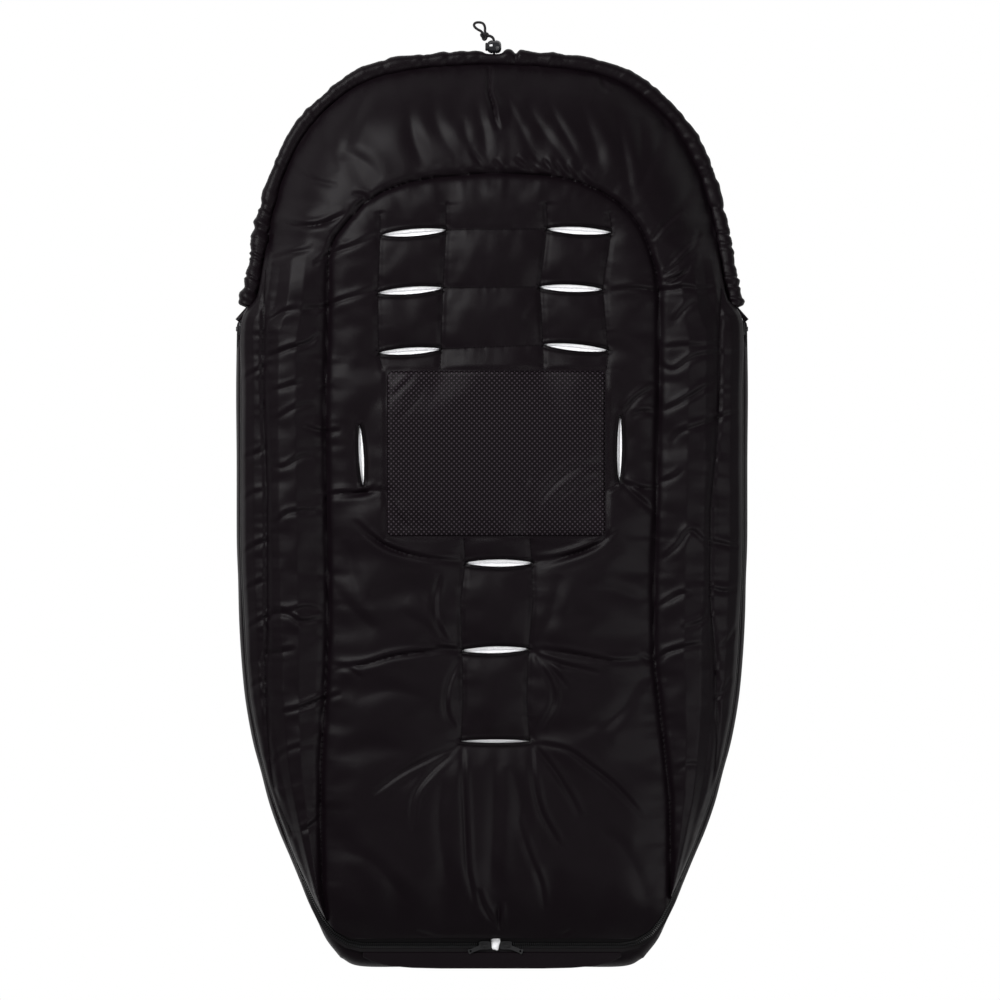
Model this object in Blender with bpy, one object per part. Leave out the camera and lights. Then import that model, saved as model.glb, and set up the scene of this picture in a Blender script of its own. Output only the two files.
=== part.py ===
"""Padded stroller footmuff, lying face down with its front cover zipped on beneath it.

Metres. +Y points to the head, +Z to the rear side that the seat carries.
"""

import math

import bmesh
import bpy
from mathutils import Matrix, Vector

# Overall size
FOOTMUFF_LENGTH = 0.918
FOOTMUFF_WIDTH = 0.514
HALF_LENGTH = FOOTMUFF_LENGTH / 2
HALF_WIDTH = FOOTMUFF_WIDTH / 2
NEIGHBOUR_GAP = 0.0003
HEM_TOP_SHARE = 0.985
FOOT_ZIP_SHARE = 0.949
HEM_TOP_Y = HEM_TOP_SHARE * HALF_LENGTH
FOOT_ZIP_Y = -FOOT_ZIP_SHARE * HALF_LENGTH

# Fabric layers
SHELL_THICKNESS = 0.0010
LINING_THICKNESS = 0.0015
EDGE_THICKNESS = 0.0046

# Heights of the back
CREST_HEIGHT = 0.0665
STITCH_DIP = 0.0045
PATCH_BED_HEIGHT = 0.0655
SEAM_HEIGHT = 0.0600
BACK_UNDERSIDE = 0.0400
OUTER_SEAM_HEIGHT = 0.0477
SIDE_CROWN = 0.0060

# Slots for the harness; the wadding is trimmed back from them
SLOT_OPENING = 0.0100
SLOT_WADDING_TRIM = 0.0040

# Anti-slip patch
PATCH_THICKNESS = 0.0010
PATCH_HALF_WIDTH = 0.1090
PATCH_TOP_Y = 0.1365
PATCH_BOTTOM_Y = -0.0255
PATCH_CORNER = 0.0060

# Hem casing and its bore
HEM_RADIUS = 0.0072
HEM_GATHER_RADIUS = 0.0064
HEM_NOTCH_RADIUS = 0.0042
HEM_NOTCH_DEPTH = 0.0026
HEM_NOTCH_HALF_WIDTH = 0.0075
HEM_NOTCH_RUN = 0.0070
HEM_BORE_RADIUS = 0.0027
HEM_FLOOR_HEIGHT = 0.0072
HEM_END_HEIGHT = 0.0310
HEM_CLIMB_START_Y = 0.3300
HEM_CLIMB_END_Y = 0.2000

# Zips
ZIP_SIDE_HEIGHT = 0.0310
ZIP_FOOT_HEIGHT = 0.0362
ZIP_HALF_GAP = 0.0006
ZIP_ROW_WIDTH = 0.0020
ZIP_ROW_THICKNESS = 0.0026
ZIP_TAPE_WIDTH = 0.0037
ZIP_TAPE_THICKNESS = 0.0006
ZIP_STOP_LENGTH = 0.0015
ZIP_STOP_INSET = 0.0040
FOOT_OPENING_X = 0.0035
ZIP_ROW_START = ZIP_HALF_GAP
ZIP_ROW_END = ZIP_ROW_START + ZIP_ROW_WIDTH
ZIP_TAPE_START = ZIP_ROW_END + NEIGHBOUR_GAP
ZIP_TAPE_END = ZIP_TAPE_START + ZIP_TAPE_WIDTH

# Sliders
SLIDER_LENGTH = 0.0120
SLIDER_WIDTH = 0.0085
SLIDER_NOSE_WIDTH = 0.0070
SLIDER_PLATE = 0.0008
SLIDER_CLEARANCE = 0.0003
SLIDER_POST_WIDTH = 0.0006
SLIDER_POST_LENGTH = 0.0030
SLIDER_BEVEL = 0.0002
SLIDER_SPACING = 0.0105
UPPER_SLIDER_Y = 0.1800
BRIDGE_CLEAR_LENGTH = 0.0030
BRIDGE_CLEAR_HEIGHT = 0.0022
BRIDGE_BAR = 0.0008
BRIDGE_WIDTH = 0.0016

# Zip pulls
PULL_LENGTH = 0.0180
PULL_WIDTH = 0.0052
PULL_WAIST = 0.0040
PULL_THICKNESS = 0.0010
PULL_RING_LENGTH = 0.0042
PULL_RING_WIDTH = 0.0038
PULL_TIP_HOLE_RADIUS = 0.0011
PULL_LIFT = 0.0011
PULL_SPREAD = math.radians(22)
PULL_DROOP = math.radians(3)

# Front cover
COVER_PADDING = 0.0220
COVER_FOLD_DROP = 0.0069
COVER_FOLD_Y = FOOT_ZIP_Y - COVER_FOLD_DROP
COVER_FOLD_RADIUS = 0.0165
COVER_ARCH_RISE = 0.1230
COVER_FLOOR_RUN = 0.0320
COVER_BULGE_HEIGHT = 0.0150
BINDING_WIDTH = 0.0040
BINDING_THICKNESS = 0.0052

# Strip under the foot zip
STRIP_BOTTOM = 0.0350
STRIP_THICKNESS = 0.0025
STRIP_HALF_LENGTH = 0.1290

# Drawcord, its lock, knot and loop
CORD_RADIUS = 0.0013
CORD_X = 0.0020
CORD_PITCH = 0.0030
CORD_START_DEPTH = 0.0021
CORD_START_Y = HEM_TOP_Y - CORD_START_DEPTH
CORD_HALF_PARTING = 0.0020
EYELET_OUTER_RADIUS = 0.0042
EYELET_INNER_RADIUS = 0.0032
EYELET_THICKNESS = 0.0006
LOCK_DISTANCE = 0.0119
LOCK_Y = HEM_TOP_Y + LOCK_DISTANCE
LOCK_RADIUS = 0.0068
LOCK_BORE_RADIUS = 0.0045
LOCK_BORE_DEPTH = 0.0060
LOCK_SLOT_WIDTH = 0.0036
LOCK_SLOT_HEIGHT = 0.0062
BUTTON_RADIUS = 0.0042
BUTTON_OUTER_END = 0.0088
BUTTON_INNER_END = 0.0020
BUTTON_TRAVEL = 0.0015
SPRING_RADIUS = 0.0030
SPRING_WIRE_RADIUS = 0.0002
SPRING_LENGTH = 0.0016
KNOT_X = -0.0075
KNOT_DISTANCE = 0.0224
KNOT_Y = HEM_TOP_Y + KNOT_DISTANCE
KNOT_RADIUS = 0.0045
LOOP_RADIUS = 0.0013

# Plan curves as shares of the half width and the half length, right side, head to foot
HEM_SHARES = (
    (0.174, 0.981), (0.321, 0.973), (0.414, 0.963), (0.503, 0.946), (0.578, 0.922),
    (0.668, 0.880), (0.736, 0.838), (0.782, 0.797), (0.818, 0.754), (0.848, 0.711),
    (0.868, 0.669), (0.888, 0.626), (0.901, 0.583), (0.913, 0.540), (0.925, 0.496),
    (0.942, 0.459), (0.9465, 0.437),
)
ZIP_SHARES = (
    (0.975, 0.407), (0.975, 0.261), (0.975, 0.109), (0.975, -0.065), (0.971, -0.153),
    (0.963, -0.240), (0.955, -0.327), (0.940, -0.414), (0.912, -0.501), (0.883, -0.571),
    (0.848, -0.636), (0.809, -0.697), (0.767, -0.758), (0.728, -0.810), (0.695, -0.854),
    (0.660, -0.892), (0.617, -0.923), (0.562, -0.942), (0.508, -FOOT_ZIP_SHARE),
    (0.292, -FOOT_ZIP_SHARE),
)
ZIP_TWIST_SHARES = (1, 1, 1, 1, 1, 1, 1, 1, 1, 1, 1, 1, 0.89, 0.73, 0.58, 0.42, 0.27, 0.11, 0, 0)
COVER_ZIP_COUNT = 14
CORNER_STATIONS = (15, 16)
ARCH_SHARES = (
    (0.191, 0.729), (0.319, 0.716), (0.442, 0.687), (0.521, 0.654), (0.562, 0.629),
    (0.591, 0.603), (0.623, 0.540), (0.640, 0.477),
)
ARCH_TOP_SHARE = 0.734
PANEL_SIDE_SHARES = (
    (0.642, 0.414), (0.642, 0.346), (0.642, 0.301), (0.642, 0.192), (0.642, 0.124),
    (0.642, 0.057), (0.642, -0.059), (0.642, -0.118), (0.642, -0.211), (0.642, -0.307),
    (0.642, -0.405), (0.656, -0.505), (0.665, -0.621), (0.665, -0.730), (0.665, -0.839),
)

# Grid of the centre panel: columns as shares of the half width, by row
SHOULDER_INNER_SHARE = 0.191
SHOULDER_MIDDLE_SHARE = 0.319
SHOULDER_OUTER_SHARE = 0.442
WAIST_SHARE = 0.506
LOWER_OUTER_SHARE = 0.486
CROTCH_SHARE = 0.132
SHOULDER_ROWS = (2, 4, 6)
LAST_SHOULDER_ROW = 7
WAIST_ROW = 9
PATCH_ROWS = (7, 8, 9, 10, 11)
CROTCH_ROWS = (12, 14, 16)
CROTCH_STITCH_ROWS = (12, 13, 14, 15, 16)
ROW_COUNT = 22
LAST_COLUMN = 4
FOOT_FALL_SHARES = {19: 0.80, 20: 0.45, 21: 0.0}

# Blocks of the centre panel's wadding: first and last row, first and last column
WADDING_BLOCKS = {
    "shoulder_wadding_high": (0, 2, -4, 4), "shoulder_wadding_middle": (2, 4, -4, 4),
    "shoulder_wadding_low": (4, 6, -4, 4), "seat_wadding": (6, 12, -3, 3),
    "seat_wadding_left": (6, 12, -4, -3), "seat_wadding_right": (6, 12, 3, 4),
    "crotch_wadding_high": (12, 14, -4, 4), "crotch_wadding_low": (14, 16, -4, 4),
    "foot_wadding": (16, 21, -4, 4),
}

# Surround: seam point, hem or outer seam point, height share along the outer edge
SURROUND_HEM_STEPS = (0, 2, 4, 6, 7, 8, 9, 11, 13)
SURROUND_SIDE_SHARES = (
    ((0.642, 0.425), (0.879, 0.523), 0.60),
    ((0.642, 0.359), (0.879, 0.436), 0.84),
    ((0.642, 0.261), (0.879, 0.283), 1.00),
    ((0.642, 0.109), (0.879, 0.109), 1.00),
    ((0.642, -0.065), (0.879, -0.065), 1.00),
    ((0.642, -0.240), (0.879, -0.240), 1.00),
    ((0.642, -0.405), (0.879, -0.414), 1.00),
    ((0.656, -0.505), (0.879, -0.501), 1.00),
    ((0.665, -0.621), (0.858, -0.571), 0.97),
    ((0.665, -0.730), (0.788, -0.697), 0.94),
    ((0.665, -0.784), (0.745, -0.758), 0.93),
    ((0.665, -0.819), (0.708, -0.810), 0.92),
    ((0.665, -0.839), (0.698, -0.826), 0.81),
)
SURROUND_CROSS_SHARES = (0.0, 0.35, 0.70, 1.0)
ARCH_ROW_COUNT = 6
HOOD_CURVE = 2.2
SEAM_FALL_SHARES = (1, 1, 1, 1, 1, 1, 1, 1, 1, 1, 0.9, 0.84, 0.80)

# Gusset rows: place along the seam, and how its outer end is held
GUSSET_HEM_SHARES = ((0.523, 0.8880), (0.490, 0.8980), (0.438, 0.9150))
GUSSET_TOP_SHARE = 0.425
GUSSET_STATIONS = (1, 2, 3, 5, 7, 8, 9, 11, 12, 13)

# Cover: how far it reaches beyond the zip line at each station, as a share
COVER_STATIONS = (0, 1, 2, 3, 5, 7, 9, 11, 12, 13, 15, 16)
COVER_FOOT_STATIONS = (18, 19)
COVER_SIDE_REACH = 0.0058
COVER_FOOT_REACH = 0.0235
COVER_REACH_SHARES = (
    0.0, 0.0, 0.0, 0.0, 0.0, 0.0, 0.0, 0.0, 0.0, 0.0, 0.0, 0.05, 0.30, 0.97, 1.0,
)
COVER_RUN_SHARES = (1, 1, 1, 1, 1, 1, 1, 1, 1, 0.95, 0.85, 0.70, 0.62, 0.62, 0.62)
COVER_ARCH_SHARES = (1.0, 0.62, 0.28, 0.06, 0, 0, 0, 0, 0, 0, 0, 0)
COVER_EDGE_SHARES = (0.0, 0.85, 1, 1, 1, 1, 1, 1, 1, 0.97, 0.93, 0.9)

# Loop and strand shapes as shares of their spans
STRAND_SHARES = ((0.0, 0.0), (0.0, 0.30), (0.0, 0.62), (0.0, 0.82), (0.06, 0.90), (0.22, 0.96),
                 (0.50, 0.985), (0.78, 0.985), (1.0, 0.975))
LOOP_SHARES = (
    (-0.24, 0.00), (-0.50, 0.16), (-0.78, 0.36), (-0.92, 0.62), (-0.80, 0.86), (-0.52, 0.97),
    (-0.22, 0.88), (-0.02, 0.64), (0.12, 0.34), (0.20, 0.06),
)
LOOP_WIDTH = 0.0120
LOOP_LENGTH = 0.0092


def clear_scene():
    for item in list(bpy.data.objects):
        bpy.data.objects.remove(item, do_unlink=True)


def principled(name, colour, roughness, metallic=0.0):
    material = bpy.data.materials.new(name)
    material.use_nodes = True
    shader = material.node_tree.nodes["Principled BSDF"]
    shader.inputs["Base Color"].default_value = (*colour, 1.0)
    shader.inputs["Roughness"].default_value = roughness
    shader.inputs["Metallic"].default_value = metallic
    material.diffuse_color = (*colour, 1.0)
    return material


def shell_nylon():
    return principled("shell_nylon", (0.035, 0.030, 0.034), 0.55)


def quilt_wadding():
    return principled("quilt_wadding", (0.78, 0.78, 0.76), 0.95)


def fleece_lining():
    return principled("fleece_lining", (0.66, 0.66, 0.67), 0.95)


def grip_patch():
    return principled("grip_patch", (0.045, 0.043, 0.045), 0.60)


def zip_tape():
    return principled("zip_tape", (0.020, 0.020, 0.021), 0.80)


def zip_teeth():
    return principled("zip_teeth", (0.018, 0.018, 0.019), 0.40)


def slider_paint():
    return principled("slider_paint", (0.022, 0.022, 0.024), 0.30, 0.6)


def cord_braid():
    return principled("cord_braid", (0.016, 0.016, 0.017), 0.70)


def lock_plastic():
    return principled("lock_plastic", (0.014, 0.014, 0.015), 0.20)


def spring_steel():
    return principled("spring_steel", (0.60, 0.60, 0.62), 0.30, 1.0)


def add_object(name, mesh, coat, pivot=None, smooth=False):
    """Turns a bmesh into a named object whose origin is at the pivot."""
    bmesh.ops.recalc_face_normals(mesh, faces=mesh.faces[:])
    place = Vector(pivot) if pivot else Vector((0, 0, 0))
    bmesh.ops.translate(mesh, verts=mesh.verts[:], vec=-place)
    data = bpy.data.meshes.new(name)
    mesh.to_mesh(data)
    mesh.free()
    for polygon in data.polygons:
        polygon.use_smooth = smooth
    data.materials.append(coat)
    item = bpy.data.objects.new(name, data)
    bpy.context.scene.collection.objects.link(item)
    item.location = place
    return item


def add_cutter(name, mesh, frame):
    """Keeps a Boolean operand out of the render."""
    bmesh.ops.recalc_face_normals(mesh, faces=mesh.faces[:])
    data = bpy.data.meshes.new(name)
    mesh.to_mesh(data)
    mesh.free()
    item = bpy.data.objects.new(name, data)
    bpy.context.scene.collection.objects.link(item)
    item.matrix_world = frame
    item.hide_render = True
    item.display_type = "WIRE"
    return item


def add_boolean(item, operand, operation):
    change = item.modifiers.new(operand.name, "BOOLEAN")
    change.operation = operation
    change.solver = "EXACT"
    change.object = operand


def add_bevel(item, width):
    change = item.modifiers.new("Bevel", "BEVEL")
    change.width = width
    change.segments = 1
    change.limit_method = "ANGLE"


def extrude_outline(points, low, high, across=(1, 0, 0), along=(0, 1, 0), up=(0, 0, 1)):
    """Makes a closed solid from a flat outline."""
    mesh = bmesh.new()
    across, along, up = Vector(across), Vector(along), Vector(up)
    corners = [mesh.verts.new(across * x + along * y + up * low) for x, y in points]
    face = mesh.faces.new(corners)
    lifted = bmesh.ops.extrude_face_region(mesh, geom=[face])
    new_corners = [part for part in lifted["geom"] if isinstance(part, bmesh.types.BMVert)]
    bmesh.ops.translate(mesh, verts=new_corners, vec=up * (high - low))
    return mesh


def sweep_sections(sections):
    """Skins closed sections of equal count into one solid with flat ends."""
    mesh = bmesh.new()
    rings = [[mesh.verts.new(point) for point in section] for section in sections]
    for first, second in zip(rings, rings[1:]):
        for here, after in zip(range(len(first)), [*range(1, len(first)), 0]):
            mesh.faces.new((first[here], first[after], second[after], second[here]))
    mesh.faces.new(rings[0])
    mesh.faces.new(rings[-1])
    return mesh


def cord_tube(name, points, radius, coat, pivot=None):
    """A round cord along a smooth line of points."""
    place = Vector(pivot) if pivot else Vector((0, 0, 0))
    curve = bpy.data.curves.new(name, "CURVE")
    curve.dimensions = "3D"
    curve.bevel_depth = radius
    curve.bevel_resolution = 2
    curve.use_fill_caps = True
    line = curve.splines.new("POLY")
    line.points.add(len(points) - 1)
    for knot, point in zip(line.points, points):
        knot.co = (*(Vector(point) - place), 1.0)
    curve.materials.append(coat)
    item = bpy.data.objects.new(name, curve)
    bpy.context.scene.collection.objects.link(item)
    item.location = place
    return item


def smooth_line(points, steps):
    """Adds points between the given ones along a smooth curve through them."""
    spots = [Vector(point) for point in points]
    ends = [spots[0] * 2 - spots[1], *spots, spots[-1] * 2 - spots[-2]]
    line = []
    for before, start, finish, after in zip(ends, ends[1:], ends[2:], ends[3:]):
        for step in range(steps):
            share = step / steps
            pull = (finish - before) / 2
            push = (after - start) / 2
            rise = share * share * (3 - 2 * share)
            spot = start.lerp(finish, rise)
            spot += pull * (share * (1 - share) ** 2)
            spot -= push * (share * share * (1 - share))
            line.append(spot)
    line.append(spots[-1])
    return line


def blend(first, second, share):
    return first + (second - first) * share


def ease(share):
    held = min(max(share, 0.0), 1.0)
    return held * held * (3 - 2 * held)


def plan(shares):
    return Vector((shares[0] * HALF_WIDTH, shares[1] * HALF_LENGTH, 0))


def plan_normals(points):
    """Outward plan directions of a line that runs from head to foot on the right side."""
    normals = []
    for index in range(len(points)):
        before = points[max(index - 1, 0)]
        after = points[min(index + 1, len(points) - 1)]
        run = after - before
        normals.append(Vector((-run.y, run.x, 0)).normalized())
    return normals


def mirrored(point, side):
    return Vector((point.x * side, point.y, point.z))


# Zip line

def zip_stations(foot_end):
    """Place, outward direction, twist and height of the right-hand zip at each station."""
    points = [plan(shares) for shares in ZIP_SHARES]
    points.append(Vector((foot_end, points[-1].y, 0)))
    normals = plan_normals(points)
    twists = [*ZIP_TWIST_SHARES, 0]
    stations = []
    for point, normal, twist in zip(points, normals, twists):
        angle = twist * math.pi / 2
        up = Vector((0, 0, 1))
        spot = point + up * blend(ZIP_FOOT_HEIGHT, ZIP_SIDE_HEIGHT, twist)
        across = normal * math.cos(angle) - up * math.sin(angle)
        facing = up * math.cos(angle) + normal * math.sin(angle)
        stations.append((spot, across, facing, normal, angle))
    return stations


def zip_bar(name, side, stations, start, finish, thickness, coat, pivot=None):
    """One side of a zip: a bar between two distances from the middle of the chain."""
    sections = []
    for spot, across, facing, normal, angle in stations:
        half = facing * (thickness / 2)
        near = spot + across * start
        far = spot + across * finish
        corners = (near - half, far - half, far + half, near + half)
        sections.append([mirrored(corner, side) for corner in corners])
    return add_object(name, sweep_sections(sections), coat, pivot)


def panel_edge_offset(angle):
    """How far inside the zip line a padded edge ends."""
    reach = math.cos(angle) * ZIP_TAPE_END + math.sin(angle) * ZIP_TAPE_THICKNESS / 2
    return reach + NEIGHBOUR_GAP


def panel_edge_spot(station):
    spot, across, facing, normal, angle = station
    place = spot - normal * panel_edge_offset(angle)
    place.z = spot.z + math.sin(angle) * ZIP_TAPE_END
    return place


def foot_end_x(side):
    """Where one side's chain stops, measured on that side."""
    return side * FOOT_OPENING_X + ZIP_STOP_INSET


def build_zips(tape, teeth, fold):
    for side, word in ((1, "right"), (-1, "left")):
        chain = zip_stations(foot_end_x(side))
        whole = zip_stations(side * FOOT_OPENING_X + NEIGHBOUR_GAP / 2)
        upper = chain[:COVER_ZIP_COUNT]
        lower = [shifted_station(chain, COVER_ZIP_COUNT - 1), *chain[COVER_ZIP_COUNT:]]
        zip_bar(f"back_zip_tape_{word}", side, whole, -ZIP_TAPE_END, -ZIP_TAPE_START,
                ZIP_TAPE_THICKNESS, tape)
        zip_bar(f"back_zip_chain_{word}", side, chain, -ZIP_ROW_END, -ZIP_ROW_START,
                ZIP_ROW_THICKNESS, teeth)
        zip_bar(f"cover_zip_tape_{word}", side, upper, ZIP_TAPE_START, ZIP_TAPE_END,
                ZIP_TAPE_THICKNESS, tape, fold)
        zip_bar(f"cover_zip_chain_{word}", side, upper, ZIP_ROW_START, ZIP_ROW_END,
                ZIP_ROW_THICKNESS, teeth, fold)
        zip_bar(f"foot_zip_chain_{word}", side, lower, ZIP_ROW_START, ZIP_ROW_END,
                ZIP_ROW_THICKNESS, teeth)
        foot = [lower[0], *whole[COVER_ZIP_COUNT:]]
        zip_bar(f"foot_zip_tape_{word}", side, foot, ZIP_TAPE_START, ZIP_TAPE_END,
                ZIP_TAPE_THICKNESS, tape)
        build_stops(side, word, chain, teeth)


def shifted_station(stations, index):
    """The station after the given one, moved back to one gap from it."""
    first, second = stations[index], stations[index + 1]
    share = NEIGHBOUR_GAP / (second[0] - first[0]).length
    mixed = [blend(a, b, share) for a, b in zip(first, second)]
    return tuple(mixed)


def build_stops(side, word, chain, coat):
    """Small end blocks on the back half of each chain."""
    for end, station, run in (("top", chain[0], Vector((0, 1, 0))), ("bottom", chain[-1], Vector((-1, 0, 0)))):
        spot, across, facing, normal, angle = station
        sections = []
        for distance in (NEIGHBOUR_GAP, NEIGHBOUR_GAP + ZIP_STOP_LENGTH):
            middle = spot + run * distance
            half = facing * (ZIP_ROW_THICKNESS / 2)
            near = middle - across * ZIP_ROW_END
            far = middle - across * ZIP_ROW_START
            corners = (near - half, far - half, far + half, near + half)
            sections.append([mirrored(corner, side) for corner in corners])
        add_object(f"zip_{end}_stop_{word}", sweep_sections(sections), coat)


# Quilted layers

def layer_spot(outer, inner, place):
    share, depth = place
    return outer.lerp(inner, share) + (inner - outer).normalized() * depth


def quilt_layer(name, spots, cells, start, finish, coat, pivot=None):
    """One closed layer between two depths of a padded panel."""
    mesh = bmesh.new()
    label = mesh.verts.layers.int.new("place")
    keys = list(spots)
    made = {}
    for index, key in enumerate(keys):
        made[key] = mesh.verts.new(layer_spot(*spots[key], start))
        made[key][label] = index
    for cell in cells:
        mesh.faces.new([made[key] for key in cell])
    far = bmesh.ops.extrude_face_region(mesh, geom=mesh.faces[:])
    for part in far["geom"]:
        if isinstance(part, bmesh.types.BMVert):
            part.co = layer_spot(*spots[keys[part[label]]], finish)
    return add_object(name, mesh, coat, pivot, smooth=True)


def quilt_panel(name, spots, cells, coats, pivot=None):
    """Shell, wadding and lining of one padded panel."""
    quilt_skins(name, spots, cells, coats, pivot)
    quilt_filling(f"{name}_wadding", spots, cells, coats, pivot)


def quilt_skins(name, spots, cells, coats, pivot=None):
    shell, wadding, lining = coats
    quilt_layer(f"{name}_shell", spots, cells, (0, 0), (0, SHELL_THICKNESS), shell, pivot)
    quilt_layer(f"{name}_lining", spots, cells, (1, -LINING_THICKNESS), (1, 0), lining, pivot)


def quilt_filling(name, spots, cells, coats, pivot=None):
    wadding_top = (0, SHELL_THICKNESS + NEIGHBOUR_GAP)
    wadding_bottom = (1, -LINING_THICKNESS - NEIGHBOUR_GAP)
    quilt_layer(name, spots, cells, wadding_top, wadding_bottom, coats[1], pivot)


def split_cell(first, second, third, fourth):
    """Two triangles for a four-sided cell."""
    return [(first, second, third), (first, third, fourth)]


def centre_columns(row, edge):
    """Plan x of the right-hand columns of one row."""
    if row <= LAST_SHOULDER_ROW:
        inner = SHOULDER_INNER_SHARE
    elif row in PATCH_ROWS:
        share = (row - LAST_SHOULDER_ROW) / (PATCH_ROWS[-1] - LAST_SHOULDER_ROW)
        inner = blend(SHOULDER_INNER_SHARE, CROTCH_SHARE, share)
    else:
        inner = CROTCH_SHARE
    if row <= LAST_SHOULDER_ROW:
        outer = SHOULDER_OUTER_SHARE
    elif row < PATCH_ROWS[-1]:
        outer = WAIST_SHARE
    else:
        outer = LOWER_OUTER_SHARE
    return [0, inner * HALF_WIDTH, SHOULDER_MIDDLE_SHARE * HALF_WIDTH, outer * HALF_WIDTH, edge.x]


def centre_rows():
    """Right-hand points of every row of the centre panel."""
    arch = [Vector((0, ARCH_TOP_SHARE * HALF_LENGTH, 0)), *[plan(pair) for pair in ARCH_SHARES]]
    sides = [plan(shares) for shares in PANEL_SIDE_SHARES]
    edges = [*arch[5:], *sides]
    top = arch[:5]
    rows = [top]
    for edge in edges[1:]:
        row = len(rows) + 1
        rows.append([Vector((x, edge.y, 0)) for x in centre_columns(row, edge)])
    middle = [upper.lerp(lower, 0.5) for upper, lower in zip(top, rows[1])]
    middle[-1] = edges[0]
    rows.insert(1, middle)
    stations = zip_stations(0)
    corner = [panel_edge_spot(stations[index]) for index in CORNER_STATIONS]
    columns = centre_columns(ROW_COUNT - 1, corner[0])
    near_foot = [Vector((x, corner[0].y, 0)) for x in columns]
    foot_y = panel_edge_spot(stations[-1]).y
    foot = [Vector((x, foot_y, 0)) for x in centre_columns(ROW_COUNT - 1, corner[1])]
    foot[-1] = Vector((corner[1].x, corner[1].y, 0))
    return [*rows, near_foot, foot]


def pulled_in(rows):
    """Draws the panel's own edge back by half the gap to its neighbour."""
    gap = NEIGHBOUR_GAP / 2
    drawn = [[point.copy() for point in row] for row in rows]
    for row in drawn[:-2]:
        row[-1].x -= gap
        row[-1].y -= gap
    for point in drawn[0][:-1]:
        point.y -= gap
    return drawn


def is_stitched(row, column):
    if row < LAST_SHOULDER_ROW:
        return row in SHOULDER_ROWS or column in (1, 3)
    if row in CROTCH_ROWS:
        return column <= 1
    return row in CROTCH_STITCH_ROWS and column == 1


def centre_heights(row, column, last_column):
    """Top and underside of the centre panel at one grid point."""
    top = CREST_HEIGHT
    if is_stitched(row, column):
        top -= STITCH_DIP
    if row in PATCH_ROWS and column < last_column:
        top = PATCH_BED_HEIGHT
    if column == last_column or row == 0:
        top = SEAM_HEIGHT
    bottom = BACK_UNDERSIDE
    if row in FOOT_FALL_SHARES:
        share = FOOT_FALL_SHARES[row]
        edge_top = ZIP_FOOT_HEIGHT + EDGE_THICKNESS / 2
        edge_bottom = ZIP_FOOT_HEIGHT - EDGE_THICKNESS / 2
        if column == last_column:
            share *= FOOT_FALL_SHARES[row]
        top = blend(edge_top, top, share)
        bottom = blend(edge_bottom, bottom, share)
    return top, bottom


def slit_sides(row, column):
    """The direction in which the lips part at a grid point, if they do."""
    if row in SHOULDER_ROWS and abs(column) == 2:
        return "along"
    if row in CROTCH_ROWS and column == 0:
        return "along"
    if row == WAIST_ROW and abs(column) == 3:
        return "across"
    return None


def slit_lip(row, column, cell_row, cell_column):
    """Which lip of a slit a cell's corner belongs to, or 0 where there is none."""
    parting = slit_sides(row, column)
    if parting == "along":
        return 1 if cell_row < row else -1
    if parting == "across":
        return 1 if cell_column >= column else -1
    return 0


def build_centre(coats):
    trimmed = SLOT_OPENING + 2 * SLOT_WADDING_TRIM
    whole = (0, ROW_COUNT - 1, -LAST_COLUMN, LAST_COLUMN)
    quilt_skins("back_centre", *centre_grid(SLOT_OPENING, whole), coats)
    for name, block in WADDING_BLOCKS.items():
        quilt_filling(name, *centre_grid(trimmed, block), coats)


def centre_grid(opening, block):
    """Spots and cells of one block of the centre panel, its slots parted by the opening."""
    rows = pulled_in(centre_rows())
    last = LAST_COLUMN
    spots = {}
    cells = []
    for row in range(block[0], block[1]):
        for column in range(block[2], block[3]):
            keys = []
            for corner_row, corner_column in ((row, column), (row + 1, column),
                                              (row + 1, column + 1), (row, column + 1)):
                lip = slit_lip(corner_row, corner_column, row, column)
                key = (corner_row, corner_column, lip)
                keys.append(key)
                pair = centre_spot(rows, key, last, opening)
                clear = block_clearance(corner_row, corner_column, block)
                spots[key] = tuple(point + clear for point in pair)
            cells.extend(split_cell(*keys))
    return spots, cells


def block_clearance(row, column, block):
    """Half a gap towards the block's own middle, where another block lies beyond."""
    clear = Vector((0, 0, 0))
    if row == block[0] > 0:
        clear.y = -NEIGHBOUR_GAP / 2
    if row == block[1] < ROW_COUNT - 1:
        clear.y = NEIGHBOUR_GAP / 2
    if column == block[2] > -LAST_COLUMN:
        clear.x = NEIGHBOUR_GAP / 2
    if column == block[3] < LAST_COLUMN:
        clear.x = -NEIGHBOUR_GAP / 2
    return clear


def centre_spot(rows, key, last, opening):
    row, column, lip = key
    side = -1 if column < 0 else 1
    point = mirrored(rows[row][abs(column)], side)
    if slit_sides(row, column) == "along":
        point.y += lip * opening / 2
    if slit_sides(row, column) == "across":
        point.x += lip * opening / 2
    top, bottom = centre_heights(row, abs(column), last)
    if slit_sides(row, column) == "across" and lip == side:
        room = rows[row][last].x - rows[row][abs(column)].x - SLOT_OPENING / 2
        top = blend(top, SEAM_HEIGHT, (opening - SLOT_OPENING) / 2 / room)
    return Vector((point.x, point.y, top)), Vector((point.x, point.y, bottom))


# Hem casing

def hem_line():
    """Right half of the casing's centre line with its outward directions."""
    points = [Vector((0, HEM_TOP_SHARE * HALF_LENGTH, 0)), *[plan(pair) for pair in HEM_SHARES]]
    normals = plan_normals(points)
    normals[0] = Vector((0, 1, 0))
    normals[-1] = Vector((1, 0, 0))
    for point in points:
        climb = (HEM_CLIMB_START_Y - point.y) / (HEM_CLIMB_START_Y - HEM_CLIMB_END_Y)
        point.z = blend(HEM_FLOOR_HEIGHT, HEM_END_HEIGHT, ease(climb))
    return points, normals


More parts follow.
